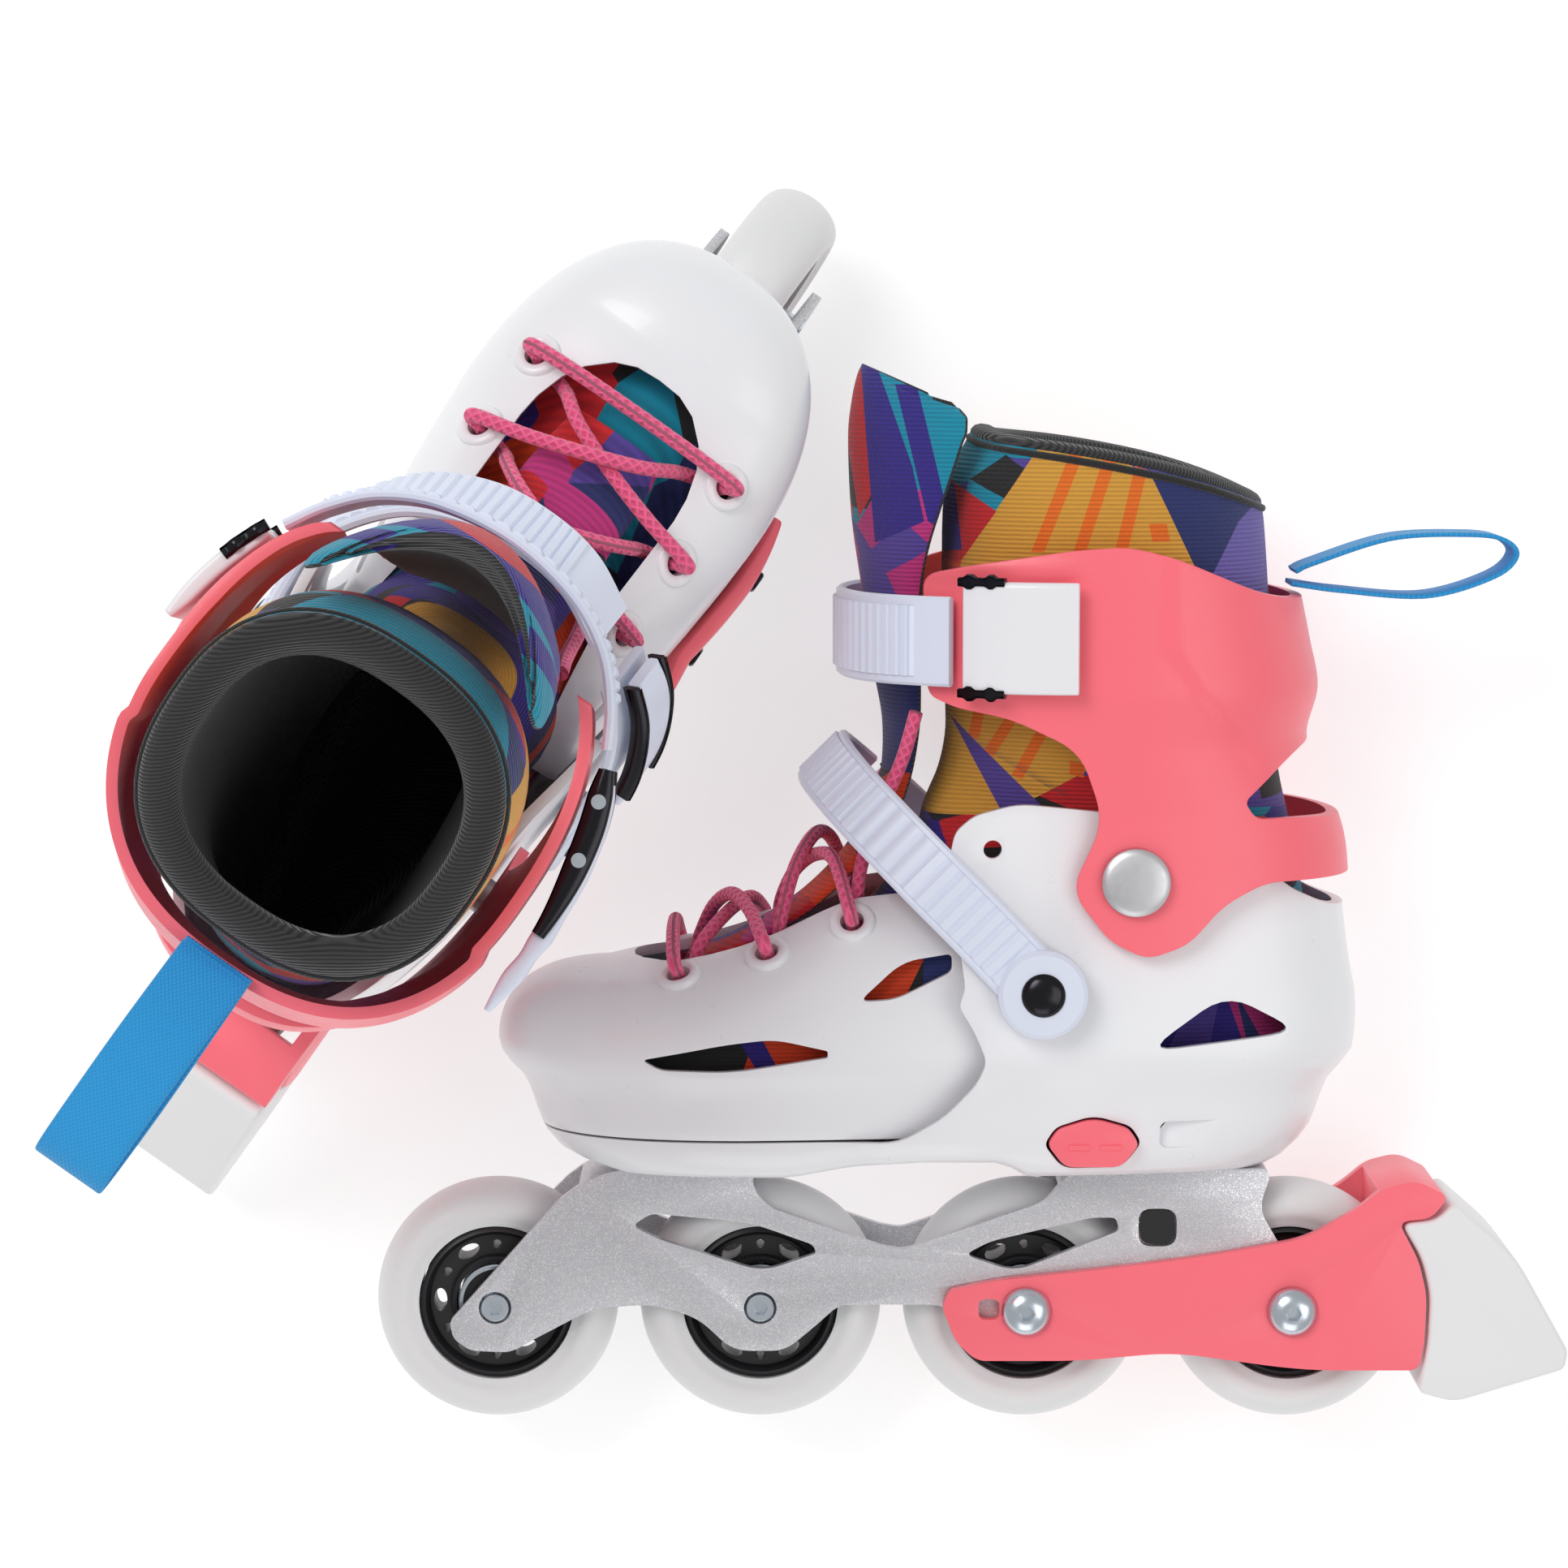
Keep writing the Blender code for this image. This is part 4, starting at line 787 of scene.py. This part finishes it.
# Each soft part's span between two bodies, from the first point to the second.
TOE_SPAN = ("toe", "chassis", (14, 135), (-14, 170))
SHAFT_SPAN = ("chassis", "cuff", (-67.5, 173.5), (-90, 212))
LACE_SPAN = ("toe", "chassis", (12, 150), (-2, 190))
TONGUE_SPAN = ("chassis", "cuff", (0, 197), (0, 224))
PADDING = 0.85
LINER_TOP = 126              # the last station of the liner's outside
LINER_SPLIT = 84             # the station where the forefoot's half meets the shaft's
COLLAR_ROLL = [(0.2, 1.0), (1.2, 2.2), (3.0, 3.0), (5.4, 3.1), (7.6, 2.4), (9.2, 0.6), (10.0, -2.0)]


def liner(skate):
    fronts = smooth_curve([(f[0], 0, f[1]) for f, _, _ in LINER_SECTIONS], LINER_TOP + 1)
    backs = smooth_curve([(b[0], 0, b[1]) for _, b, _ in LINER_SECTIONS], LINER_TOP + 1)
    widths = smooth_curve([(w, 0, 0) for _, _, w in LINER_SECTIONS], LINER_TOP + 1)

    def ring(k, inset=0.0, up=0.0):
        middle, reach = (fronts[k] + backs[k]) / 2, (fronts[k] - backs[k]) / 2
        reach = reach * (1 - inset / reach.length)
        late = max(0.0, (k - 108) / 18) ** 2
        row = []
        for c, s in around(72):
            crown = late * 4.5 * (1 - c * c) + late * 2.0 * (1 + c) * (1 - abs(s))
            row.append(middle + reach * squarish(c) + LEFT * (widths[k].x - inset) * squarish(s)
                       + Vector((0, 0, up + crown)))
        return row

    def inner(k):
        return ring(k, eased([(0, 4.2), (70, 5.2), (100, 7.0), (LINER_TOP, 10.2)], k))

    outer = [ring(k) for k in range(0, LINER_SPLIT + 1, 2)]
    rows = outer + [inner(k) for k in range(LINER_SPLIT, -1, -3)]
    toe_part = skate.piece("liner_forefoot", grid_mesh(rows, closed=True, caps=True, split=len(outer)), "knit",
                           "chassis", ("liner",), inner_look="lining", smooth=70)
    skate.bend(toe_part, TOE_SPAN, PADDING)
    outer = [ring(k) for k in range(LINER_SPLIT, LINER_TOP + 1, 2)]
    collar = [ring(LINER_TOP, inset, up) for inset, up in COLLAR_ROLL]
    rows = outer + collar + [inner(k) for k in range(LINER_TOP - 3, LINER_SPLIT - 1, -3)] + [outer[0]]
    shaft = skate.piece("liner_shaft", grid_mesh(rows, closed=True, split=len(outer)), "knit", "chassis",
                        ("liner",), inner_look="lining", smooth=70)
    skate.bend(shaft, SHAFT_SPAN, PADDING)


def piping(skate):
    """The cord sewn round the liner's top edge."""
    (front_x, front_z), (back_x, back_z), half = LINER_SECTIONS[-1]
    front, back = Vector((front_x, 0, front_z)), Vector((back_x, 0, back_z))
    path = []
    for c, s in around(120):
        rise = 4.5 * (1 - c * c) + 2.0 * (1 + c) * (1 - abs(s)) - 1.5
        path.append((front + back) / 2 + (front - back) / 2 * 1.003 * squarish(c)
                    + LEFT * (half + 0.1) * squarish(s) + Vector((0, 0, rise)))
    obj = skate.piece("liner_piping", tube(path, 1.1, 10, closed=True), "piping", "chassis", smooth=80)
    skate.bend(obj, SHAFT_SPAN)


def tube(path, radius, sides=12, closed=False, braid=False):
    """A round tube along a path, with its turn and length kept for a braid."""
    bm = bmesh.new()
    layer = bm.verts.layers.float_vector.new("braid") if braid else None
    rings = []
    count = len(path)
    up = Vector(UPRIGHT)
    length = 0.0
    for i, point in enumerate(path):
        after = path[(i + 1) % count] if closed else path[min(i + 1, count - 1)]
        before = path[i - 1] if closed or i else path[0]
        tangent = (after - before).normalized()
        side = tangent.cross(up)
        side = side.normalized() if side.length > 0.05 else LEFT
        up = side.cross(tangent).normalized()
        length += (point - path[i - 1]).length if i else 0.0
        ring = []
        for k in range(sides):
            a = 2 * math.pi * k / sides
            vert = bm.verts.new(point + (side * math.cos(a) + up * math.sin(a)) * radius)
            if braid:
                vert[layer] = (a, length * 1.9, 0.0)
            ring.append(vert)
        rings.append(ring)
    for i in range(count if closed else count - 1):
        low, high = rings[i], rings[(i + 1) % count]
        for k in range(sides):
            j = (k + 1) % sides
            bm.faces.new((low[k], low[j], high[j], high[k]))
    if not closed:
        bm.faces.new(rings[0][::-1])
        bm.faces.new(rings[-1])
    return to_mesh(bm, weld=False)


TONGUE = [
    ((56, 137.5), 14, 1.0, 3.0), ((44, 142.5), 16, 1.5, 3.0), ((26, 154.0), 17, 2.0, 3.5),
    ((12, 169.0), 18, 2.5, 4.0), ((4.5, 184.0), 19, 4.0, 5.0), ((3, 202.0), 21, 6.0, 6.0),
    ((6, 220.0), 24, 9.0, 7.0), ((9, 241.0), 28, 11.5, 8.0), ((12, 262.0), 32, 19.0, 8.5),
    ((13, 284.0), 35, 26.0, 9.0), ((12, 295.0), 34, 27.0, 8.5), ((10.5, 302.0), 31, 25.0, 6.5),
    ((9.0, 305.5), 26, 20.0, 2.0),
]


def tongue(skate):
    count = 90
    centres = smooth_curve([(p[0], 0, p[1]) for p, _, _, _ in TONGUE], count)
    shape = smooth_curve([(w, wrap, thick) for _, w, wrap, thick in TONGUE], count)
    rows = []
    for k in range(count):
        half_width, wrap, thickness = shape[k]
        run = (centres[min(k + 1, count - 1)] - centres[max(k - 1, 0)]).normalized()
        outward = Vector((run.z, 0, -run.x))
        outer, inner = [], []
        for step in range(-12, 13):
            t = math.sin(step / 12 * math.pi / 2)
            depth = thickness * superellipse(t, 3.5)
            face = centres[k] + LEFT * half_width * t - outward * wrap * t * t
            outer.append(face - outward * (thickness - depth) * 0.5)
            inner.append(outer[-1] - outward * max(depth, 0.5))
        rows.append(outer + inner[::-1])
    split = next(k for k in range(count) if centres[k].z > 195)
    for name, part, span in (("foot", rows[:split + 1], LACE_SPAN), ("shin", rows[split:], TONGUE_SPAN)):
        mesh = grid_mesh(part, closed=True, caps=True)
        for face in mesh.polygons:
            face.material_index = 1 if face.normal.x < -0.12 else 0
        obj = skate.piece("tongue_" + name, mesh, "tongue", "chassis", ("tongue",), inner_look="lining",
                          smooth=70)
        skate.bend(obj, span, PADDING)


PULL_LOOP = [(-113.5, 0, 243.0), (-128, 0, 241), (-152, 0, 239.5), (-171, 0, 245), (-177.5, 0, 251),
             (-174, 0, 255.5), (-164, 0, 257), (-142, 0, 256), (-120, 0, 249), (-114.5, 0, 246.5)]


def pull_loop(skate):
    path = smooth_curve(PULL_LOOP, 70)
    mesh = grid_mesh(ribbon(path, LEFT, 20.0, 1.3), closed=True, caps=True)
    skate.piece("pull_webbing", mesh, "webbing", "cuff", ("pull_loop",), smooth=60)


def lace_side():
    """One half of the lace: (point, how far the other half passes above it there)."""
    (x1, y1), (x2, y2), (x3, y3) = EYELETS[:3]

    def through(x, y, depth):
        return toe_surface(x, y) + toe_normal(x, y) * depth

    return [
        ((-6, 27.5, 208), 0), ((-2, 25.5, 194), 0), ((4.5, 23.8, 178.5), 0), ((9.5, 22, 163), 0),
        ((10.5, 22.1, 150.0), 0), ((11.5, 26.6, 142.4), 0), (through(x3, y3, -6.8), 0), (through(x3, y3, 0), 0),
        (through(x3, y3, 5.5), 0), ((17, 21, 165), 1), ((22, 5, 165), 5), ((28, -12, 158.5), 4),
        ((32, -20.3, 149), 0), ((33, -21.6, 141.5), 0), ((34.5, -26.5, 136.0), 0), (through(x2, -y2, -6.5), 0),
        (through(x2, -y2, 0), 0), (through(x2, -y2, 5.5), 0), ((41, -20, 149.5), 1), ((46, -4, 148.5), 5),
        ((51.5, 10, 144.5), 4), ((55.5, 16.5, 139.5), 0), ((57, 18.8, 134.0), 0), ((58.8, 24.2, 129.6), 0),
        (through(x1, y1, -6.5), 0), (through(x1, y1, 0), 0), (through(x1, y1, 5.5), 0), ((63, 16, 143.5), 0),
    ]


def lace(skate):
    half = [(Vector(point), lift) for point, lift in lace_side()]
    other = [Vector((p.x, -p.y, p.z + lift)) for p, lift in half]
    path = smooth_curve([p for p, _ in half] + other[::-1], 520)
    cord = skate.piece("lace_cord", tube(path, 2.0, 14, braid=True), "lace", "toe", ("lace",), smooth=80)
    skate.bend(cord, LACE_SPAN)


# ======== straps and buckles ========
STRAP_ACROSS = (-0.71, 0.0, 0.70)
BOOT_MIDDLE = Vector((-50, 0, 140))
STUD = (-41, 131)
INSTEP_PATH = [(-41, 49.0, 131), (-25, 50.0, 148), (-8, 47.5, 165), (9.5, 33.5, 182), (18, 16.5, 190.5),
               (20, 0, 193), (18, -15.5, 190.5), (11, -29.5, 183.5)]
BUCKLE_PATH = [(-41, -49.0, 131), (-27, -50.5, 146), (-14, -50.0, 159), (-3, -45.5, 170), (4, -38.5, 177)]
STRAP_Z = 229.5
CUFF_STRAP_PATH = [(-15, 49.5), (-5, 43.5), (5, 34), (12, 20), (15, 0), (12, -20), (5, -34), (-5, -43.5),
                   (-15, -49.5)]
CLASP_PATH = [(-18.5, 52.0), (-34, 57.2), (-50, 60.0)]
LEVER_PATH = [(-19, -52.5), (-36, -58.5), (-58, -62.0), (-86, -61.5)]


def shifted(path, across, distance, side=0.0):
    """Move a path outward along its normal, and sideways along its width."""
    moved = []
    for point, wide, normal in frames_along(path, across):
        if normal.dot(point - BOOT_MIDDLE) < 0:
            normal = -normal
        moved.append(point + normal * distance + wide * side)
    return moved


def faces_inward(path, across):
    """Whether a strap along this path would have its top face towards the boot."""
    k = len(path) // 2
    return (path[k + 1] - path[k - 1]).cross(Vector(across)).dot(path[k] - BOOT_MIDDLE) < 0


def ribs(start, end, period, height):
    """Raised bars on a strap: a lift for each point of its path."""
    return lambda i: height if start <= i <= end and (i - start) % period < period * 0.55 else 0.0


def strap_mesh(path, across, width, thickness, ridges=None, outward=False):
    if outward and faces_inward(path, across):
        path = path[::-1]
    return grid_mesh(ribbon(path, across, width, thickness, ridges), closed=True, caps=True)


def disc(centre, side, radius, low, high):
    """A round boss on the side wall with a rounded outer edge."""
    x, z = centre
    return lathe([(0.01, low * side), (radius, low * side), (radius, (high - 1.2) * side),
                  (radius - 1.2, high * side), (0.01, high * side)], (x, 0, z), 48)


def instep_strap(skate):
    path = smooth_curve(INSTEP_PATH, 150)
    mesh = strap_mesh(path, STRAP_ACROSS, 19.0, 3.0, ribs(26, 140, 4, 0.9), outward=True)
    skate.piece("instep_ladder", mesh, "strap", "chassis", ("instep_strap",),
                joins=[disc(STUD, 1, 12.5, 46.9, 53.5)], smooth=35)
    dome(skate, "instep_stud_left", 1, 53.3)


def dome(skate, name, side, seat):
    profile = [(6.2, seat), (6.0, seat + 0.7), (4.6, seat + 1.5), (2.4, seat + 2.0), (0.01, seat + 2.1),
               (0.01, seat)]
    mesh = lathe([(r, h * side) for r, h in profile], (STUD[0], 0, STUD[1]), 40)
    skate.piece(name, mesh, "black", "chassis", smooth=60)


def instep_buckle(skate):
    path = smooth_curve(BUCKLE_PATH, 60)
    mesh = strap_mesh(path, STRAP_ACROSS, 22.0, 3.0, outward=True)
    skate.piece("instep_buckle_base", mesh, "strap", "chassis", ("instep_buckle",),
                joins=[disc(STUD, -1, 12.0, 46.9, 53.0)], smooth=35)
    dome(skate, "instep_stud_right", -1, 52.8)


def instep_lever(skate):
    path = shifted(smooth_curve(BUCKLE_PATH, 60), STRAP_ACROSS, 6.4)[20:]
    thick = [(0, 2.0), (6, 3.2), (16, 5.0), (24, 5.6), (32, 5.2), (39, 3.4)]
    turned = faces_inward(path, STRAP_ACROSS)
    mesh = strap_mesh(path, STRAP_ACROSS, 13.0, lambda i: eased(thick, len(path) - 1 - i if turned else i),
                      outward=True)
    skate.piece("instep_lever_grip", mesh, "strap", "instep_lever", ("instep_lever",), smooth=50)
    for name, side in (("a", -7.6), ("b", 7.6)):
        plate = shifted(path[4:], STRAP_ACROSS, 0.2, side)
        mesh = strap_mesh(plate, STRAP_ACROSS, 1.6, 5.4, outward=True)
        skate.piece("instep_lever_plate_" + name, mesh, "black", "instep_lever", ("instep_lever",), smooth=50)


def level_path(points, z, count):
    return smooth_curve([(x, y, z) for x, y in points], count)


def cuff_strap(skate):
    path = level_path(CUFF_STRAP_PATH, STRAP_Z, 136)
    mesh = strap_mesh(path, UPRIGHT, 25.0, 2.6, ribs(18, 118, 4, 1.0), outward=True)
    skate.piece("cuff_ladder", mesh, "strap", "cuff", ("cuff_strap",), smooth=35)


def cuff_clasp(skate):
    path = level_path(CLASP_PATH, 231.0, 40)
    thick = [(0, 3.4), (6, 4.6), (30, 4.6), (39, 2.8)]
    mesh = strap_mesh(path, UPRIGHT, 31.0, lambda i: eased(thick, i))
    skate.piece("clasp_plate", mesh, "shell", "cuff_clasp", ("cuff_clasp",), smooth=50, bevel=0.9, segments=3)
    for name, height in (("lower", 215.6), ("upper", 246.4)):
        hook = shifted(level_path([(-17.5, 51.6), (-24, 54.4), (-30, 56.4)], height, 12), UPRIGHT, 0.8)
        mesh = strap_mesh(hook, UPRIGHT, lambda i: 4.4 if i in (2, 3, 7, 8) else 2.6, 3.2)
        skate.piece("clasp_hook_" + name, mesh, "black", "cuff_clasp", smooth=40)


def cuff_lever(skate):
    path = level_path(LEVER_PATH, STRAP_Z, 90)
    arm = path[:66]
    for name, side in (("lower", -12.4), ("upper", 12.4)):
        plate = shifted(arm, UPRIGHT, 0.0, side)
        thick = [(0, 4.0), (12, 6.4), (40, 6.6), (65, 3.6)]
        mesh = strap_mesh(plate, UPRIGHT, 2.4, lambda i: eased(thick, i))
        skate.piece("lever_side_" + name, mesh, "black", "cuff_lever", ("cuff_lever",), smooth=50)
    cover = shifted(path[6:], UPRIGHT, 0.9)
    wave = [(0, 3.0), (8, 4.6), (36, 5.4), (52, 4.4), (60, 5.2), (66, 4.0), (72, 4.8), (78, 3.2), (83, 1.6)]
    spread = [(0, 21.0), (50, 21.5), (62, 25.5), (76, 28.0), (83, 24.0)]
    mesh = strap_mesh(cover, UPRIGHT, lambda i: eased(spread, i), lambda i: eased(wave, i))
    skate.piece("lever_cover", mesh, "strap", "cuff_lever", ("cuff_lever",), smooth=50)
    pins = [rod((*path[k].xy, STRAP_Z - 14.2), (*path[k].xy, STRAP_Z + 14.2), 1.9, 20) for k in (14, 38)]
    skate.piece("lever_pins", joined(*pins), "zinc", "cuff_lever", ("cuff_lever",), slot="black_metal")


# ======== running gear ========
def wheel(skate, number, x):
    centre = (x, 0, WHEEL_RADIUS)
    tread_radius, half_width, hole_circle = 27, 12, 16.4
    detailed = skate.prefix == "a_"
    body = f"wheel_{number}"
    nodes = {part: f"{part}_{number}" if detailed else body for part in ("tyre", "hub", "bearings")}
    steps = [math.pi / 2 * (1 - k / 20) for k in range(41)]
    tread = [(tread_radius + (WHEEL_RADIUS - tread_radius) * math.cos(a), half_width * math.sin(a)) for a in steps]
    side = [(25.6, -11.9), (24.6, -11.2), (23.6, -11.0), (22.4, -10.6)]
    skate.piece(f"tyre_ring_{number}", lathe(tread + mirrored(side), centre), "urethane", body,
                (nodes["tyre"],), smooth=50)
    hub = [(22, 9), (20.6, 9.6), (19.6, 8.4), (19.2, 6.2), (13.6, 6.2), (13.2, 8.6), (12.6, 9.2), (11.6, 9)]
    holes = []
    for k in range(6):
        a = math.pi / 3 * k
        for swing, long_radius, short in ((0.0, 3.4, 1.9), (math.pi / 6, 1.3, 1.3)):
            c, s = math.cos(a + swing), math.sin(a + swing)
            middle = Vector((hole_circle * c, hole_circle * s))
            oval = [(short * u, long_radius * v) for u, v in around(20)]
            holes.append(prism([(x + middle.x + u * c - v * s, WHEEL_RADIUS + middle.y + u * s + v * c)
                                for u, v in oval], -half_width, half_width))
    skate.piece(f"hub_core_{number}", lathe(mirrored(hub), centre), "hub", body, (nodes["hub"],), cuts=holes,
                slot="hub_black" if detailed else "urethane", smooth=35)
    half = [(11, 9.7), (10.6, 10.1), (9.7, 10.1), (9.4, 9.5), (6.9, 9.5), (6.6, 10.2), (4.9, 10.2), (4.3, 9.8)]
    ring = lathe(mirrored(half), centre, 64)
    for face in ring.polygons:
        out = Vector((face.center.x - x, face.center.z - WHEEL_RADIUS)).length
        face.material_index = 1 if 6.95 < out < 9.35 else 0
    skate.piece(f"bearing_pair_{number}", ring, "zinc", body, (nodes["bearings"],), inner_look="rubber",
                slot="steel" if detailed else "urethane", smooth=35)


def axle(skate, number, x):
    node = f"axle_{number}" if skate.prefix == "a_" else "frame"
    if number <= 2:
        reach = 18.6
        profile = mirrored([(0.01, reach), (3.5, reach), (3.9, reach - 0.4)])
    else:
        seat = 22.8
        profile = [(0.01, seat + 4), (3.0, seat + 3.9), (5.2, seat + 3.0), (6.6, seat + 1.7), (7.1, seat + 0.6),
                   (7.1, seat), (3.9, seat)]
        profile = mirrored(profile)
        reach = seat + 4
    sockets = []
    for side in (1, -1):
        hexagon = [(x + 2.3 * c, WHEEL_RADIUS + 2.3 * s) for c, s in around(6)]
        low, high = sorted((side * (reach - 2.4), side * (reach + 1)))
        sockets.append(prism(hexagon, low, high))
    skate.piece(f"axle_pin_{number}", lathe(profile, (x, 0, WHEEL_RADIUS), 48), "zinc", "chassis", (node,),
                cuts=sockets, slot="steel" if skate.prefix == "a_" else "alloy", smooth=35)


AXLE_BORE = 4.7
FRAME_EDGE = [(88, DECK_TOP), (127.6, 31), (126.5, 26), (121.6, 22.5), (110, 22), (103, 26), (86, 35),
              (68.6, 36), (56, 32), (46, 22.5), (31, 22.5), (22, 30), (15.5, 36), (-14, 36), (-22, 30),
              (-31, 22.5), (-46, 22.5), (-56, 32), (-68.6, 36), (-86, 35), (-103, 26), (-110, 22),
              (-121.6, 22.5), (-126.5, 28), (-112, 52), (-105, 64), (-109, DECK_TOP), (-51.6, DECK_TOP),
              (-43.5, 66), (-3, 52), (3, 53), (34.6, 64), (39, 68), (42, DECK_TOP)]
FRAME_SLOTS = [[(75, 59), (69.5, 62.6), (41, 60), (23, 53.5), (22, 51), (37.5, 45.6), (67, 55)],
               [(-20.5, 50.6), (-28, 54.5), (-57, 61.4), (-64, 61.4), (-65, 57.6), (-35, 45.6)]]
FRAME_PORT = [(-70.5, 53), (-70.5, 64), (-81.5, 64), (-81.5, 53)]


def block(low, high):
    return prism([(low[0], low[2]), (high[0], low[2]), (high[0], high[2]), (low[0], high[2])], low[1], high[1])


def chassis(skate):
    cuts = [block((-150, -15, -5), (150, 15, DECK_TOP - 5))]
    cuts += [slab(edge, 30) for edge in FRAME_SLOTS + [FRAME_PORT]]
    cuts += [drill(x, WHEEL_RADIUS, AXLE_BORE) for x in AXLE_XS]
    skate.piece("frame_channel", slab(FRAME_EDGE, 18, 6), "alloy", "chassis", ("frame",), cuts=cuts, bevel=0.6,
                smooth=30)
    for name, side in (("left", 1), ("right", -1)):
        low, high = sorted((15.2 * side, 17.2 * side))
        mesh = prism(rounded([(-71, 53.5), (-71, 63.5), (-81, 63.5), (-81, 53.5)]), low, high)
        skate.piece("port_insert_" + name, mesh, "rubber", "chassis")


ARM_EDGE = [(-14, 36), (-16, 41), (-30, 44), (-59, 47), (-90, 51), (-118, 56), (-133, 64.7), (-140, 70.7),
            (-149.5, 73), (-159, 68.3), (-154, 62), (-144.5, 61), (-150.5, 50), (-153, 39.7), (-152.5, 26),
            (-151, 17.7), (-118, 17.7), (-80, 23), (-54, 20.5), (-24, 20.5), (-18, 26)]
ARM_SLOT = [(-24.5, 38.5), (-24.5, 32.5), (-30.5, 32.5), (-30.5, 38.5)]
PAD_EDGE = [(-145.4, 60.4), (-155.5, 61.4), (-161, 66.5), (-178, 51.6), (-194, 23), (-193, 17.7),
            (-161.5, 8.1), (-151, 11), (-152.1, 17.4), (-153.6, 26), (-154.1, 39.7), (-151.6, 50)]


def brake(skate):
    inner, outer = 18.4, 22.4
    cuts = [block((-139, -inner, 0), (0, inner, 90)), block((-170, 0.3 - inner, 0), (-138, inner - 0.3, 60.9)),
            slab(ARM_SLOT, 30)]
    cuts += [drill(x, WHEEL_RADIUS, AXLE_BORE) for x in AXLE_XS[2:]]
    skate.piece("brake_bracket", slab(ARM_EDGE, outer, 6), "coral", "chassis", ("brake_arm",), cuts=cuts,
                bevel=0.9, smooth=30)
    skate.piece("brake_block", slab(PAD_EDGE, 22, 6), "pad", "chassis", ("brake_pad",), bevel=1.6, segments=3,
                smooth=40)


def size_button(skate):
    skate.piece("button_cap", prism(rounded(BUTTON_EDGE), BUTTON_FACE - 3.4, BUTTON_FACE + 1.6), "coral",
                "size_button", ("size_button",), bevel=0.6)
    for k in range(2):
        bar = prism(rounded([(-49 - 9 * k, 85), (-49 - 9 * k, 86.4), (-55 - 9 * k, 86.4), (-55 - 9 * k, 85)]),
                    BUTTON_FACE + 1.0, BUTTON_FACE + 2.0)
        skate.piece(f"button_bar_{k}", bar, "coral", "size_button")


def skid_plate(skate):
    rows = []
    start, length, steps = 2, 70, 47
    for k in range(steps + 1):
        x = start + length * k / steps
        inner = base_half_width(x) + 0.8
        rise = math.sin(math.pi * (0.12 + 0.76 * k / steps))
        low, high = 82.0, 90.0 + 16.0 * rise
        base = grown(x, inner, 88)
        foot = -grown(x, inner, low).y
        rows.append([(base.x, foot - 0.6, low), (base.x, -inner - 0.2, high),
                     (base.x, -inner - 0.8 - 3.4 * rise, high), (base.x, -inner - 0.8 - 3.6 * rise, high - 6),
                     (base.x, foot - 0.6 - 3.2 * rise, low)])
    skate.piece("skid_guard", grid_mesh(rows, closed=True, caps=True), "coral", "chassis", ("skid_plate",),
                bevel=0.8, bevel_angle=30, smooth=50)
    for k, x in enumerate((22, 52)):
        y = -(base_half_width(x) + 4.4)
        screw = lathe([(0.01, y + 2), (3.2, y + 2), (3.2, y - 0.7), (2.6, y - 1.2), (0.01, y - 1.2)],
                      (grown(x, 0, 88).x, 0, 93), 32)
        skate.piece(f"skid_screw_{k}", screw, "black", "chassis")


for which in ("a_", "b_"):
    skate_now = Skate(which)
    for build in (boot_shell, toe_shell, cuff, rivets, size_button, skid_plate, chassis, brake):
        build(skate_now)
    for number_now, axle_x in enumerate(AXLE_XS, start=1):
        wheel(skate_now, number_now, axle_x)
        axle(skate_now, number_now, axle_x)
    for build in (liner, piping, tongue, pull_loop, lace, instep_strap, instep_buckle, instep_lever,
                  cuff_strap, cuff_clasp, cuff_lever):
        build(skate_now)


# ======== floor, light and camera ========
def area_light(name, place, target, size, power):
    data = bpy.data.lights.new(name, "AREA")
    data.size = size
    data.energy = power
    lamp = bpy.data.objects.new(name, data)
    bpy.context.scene.collection.objects.link(lamp)
    lamp.location = place
    lamp.rotation_euler = (Vector(target) - Vector(place)).to_track_quat("-Z", "Y").to_euler()


FLOOR = 6                    # metres from the middle to an edge
floor_mesh = bpy.data.meshes.new("floor")
floor_mesh.from_pydata([(-FLOOR, -FLOOR, 0), (FLOOR, -FLOOR, 0), (FLOOR, FLOOR, 0), (-FLOOR, FLOOR, 0)],
                       [], [(0, 1, 2, 3)])
floor = bpy.data.objects.new("floor", floor_mesh)
bpy.context.scene.collection.objects.link(floor)
floor.location.z = -0.0008
paper = Shader("paper_floor", (0.6, 0.6, 0.6), 0.9,
               **{"Emission Color": (1, 1, 1, 1), "Emission Strength": 0.55})
paper.bump(paper.noise(paper.node("TexCoord").outputs["Object"], 400.0, 2.0), 0.02)
floor_mesh.materials.append(paper.material)

world = bpy.data.worlds.new("studio")
world.use_nodes = True
Shader.set(world.node_tree.nodes["Background"], Color=(1, 1, 1, 1), Strength=0.5)
bpy.context.scene.world = world
area_light("key", (-0.9, 0.9, 1.9), (0, 0, 0.05), 1.0, 19)
area_light("fill", (1.2, -0.4, 1.6), (0, 0, 0.05), 1.2, 7)
area_light("front", (0.0, -1.6, 0.9), (0, 0, 0.1), 1.0, 4)

lens = bpy.data.cameras.new("camera")
lens.lens = 113.0
lens.sensor_width = 36.0
lens.clip_start = 0.05
camera = bpy.data.objects.new("camera", lens)
bpy.context.scene.collection.objects.link(camera)
camera.location = (-0.0096, 0.0046, 1.48)       # it looks straight down
bpy.context.scene.camera = camera
bpy.context.scene.view_settings.view_transform = "Standard"
bpy.context.scene.view_settings.look = "None"
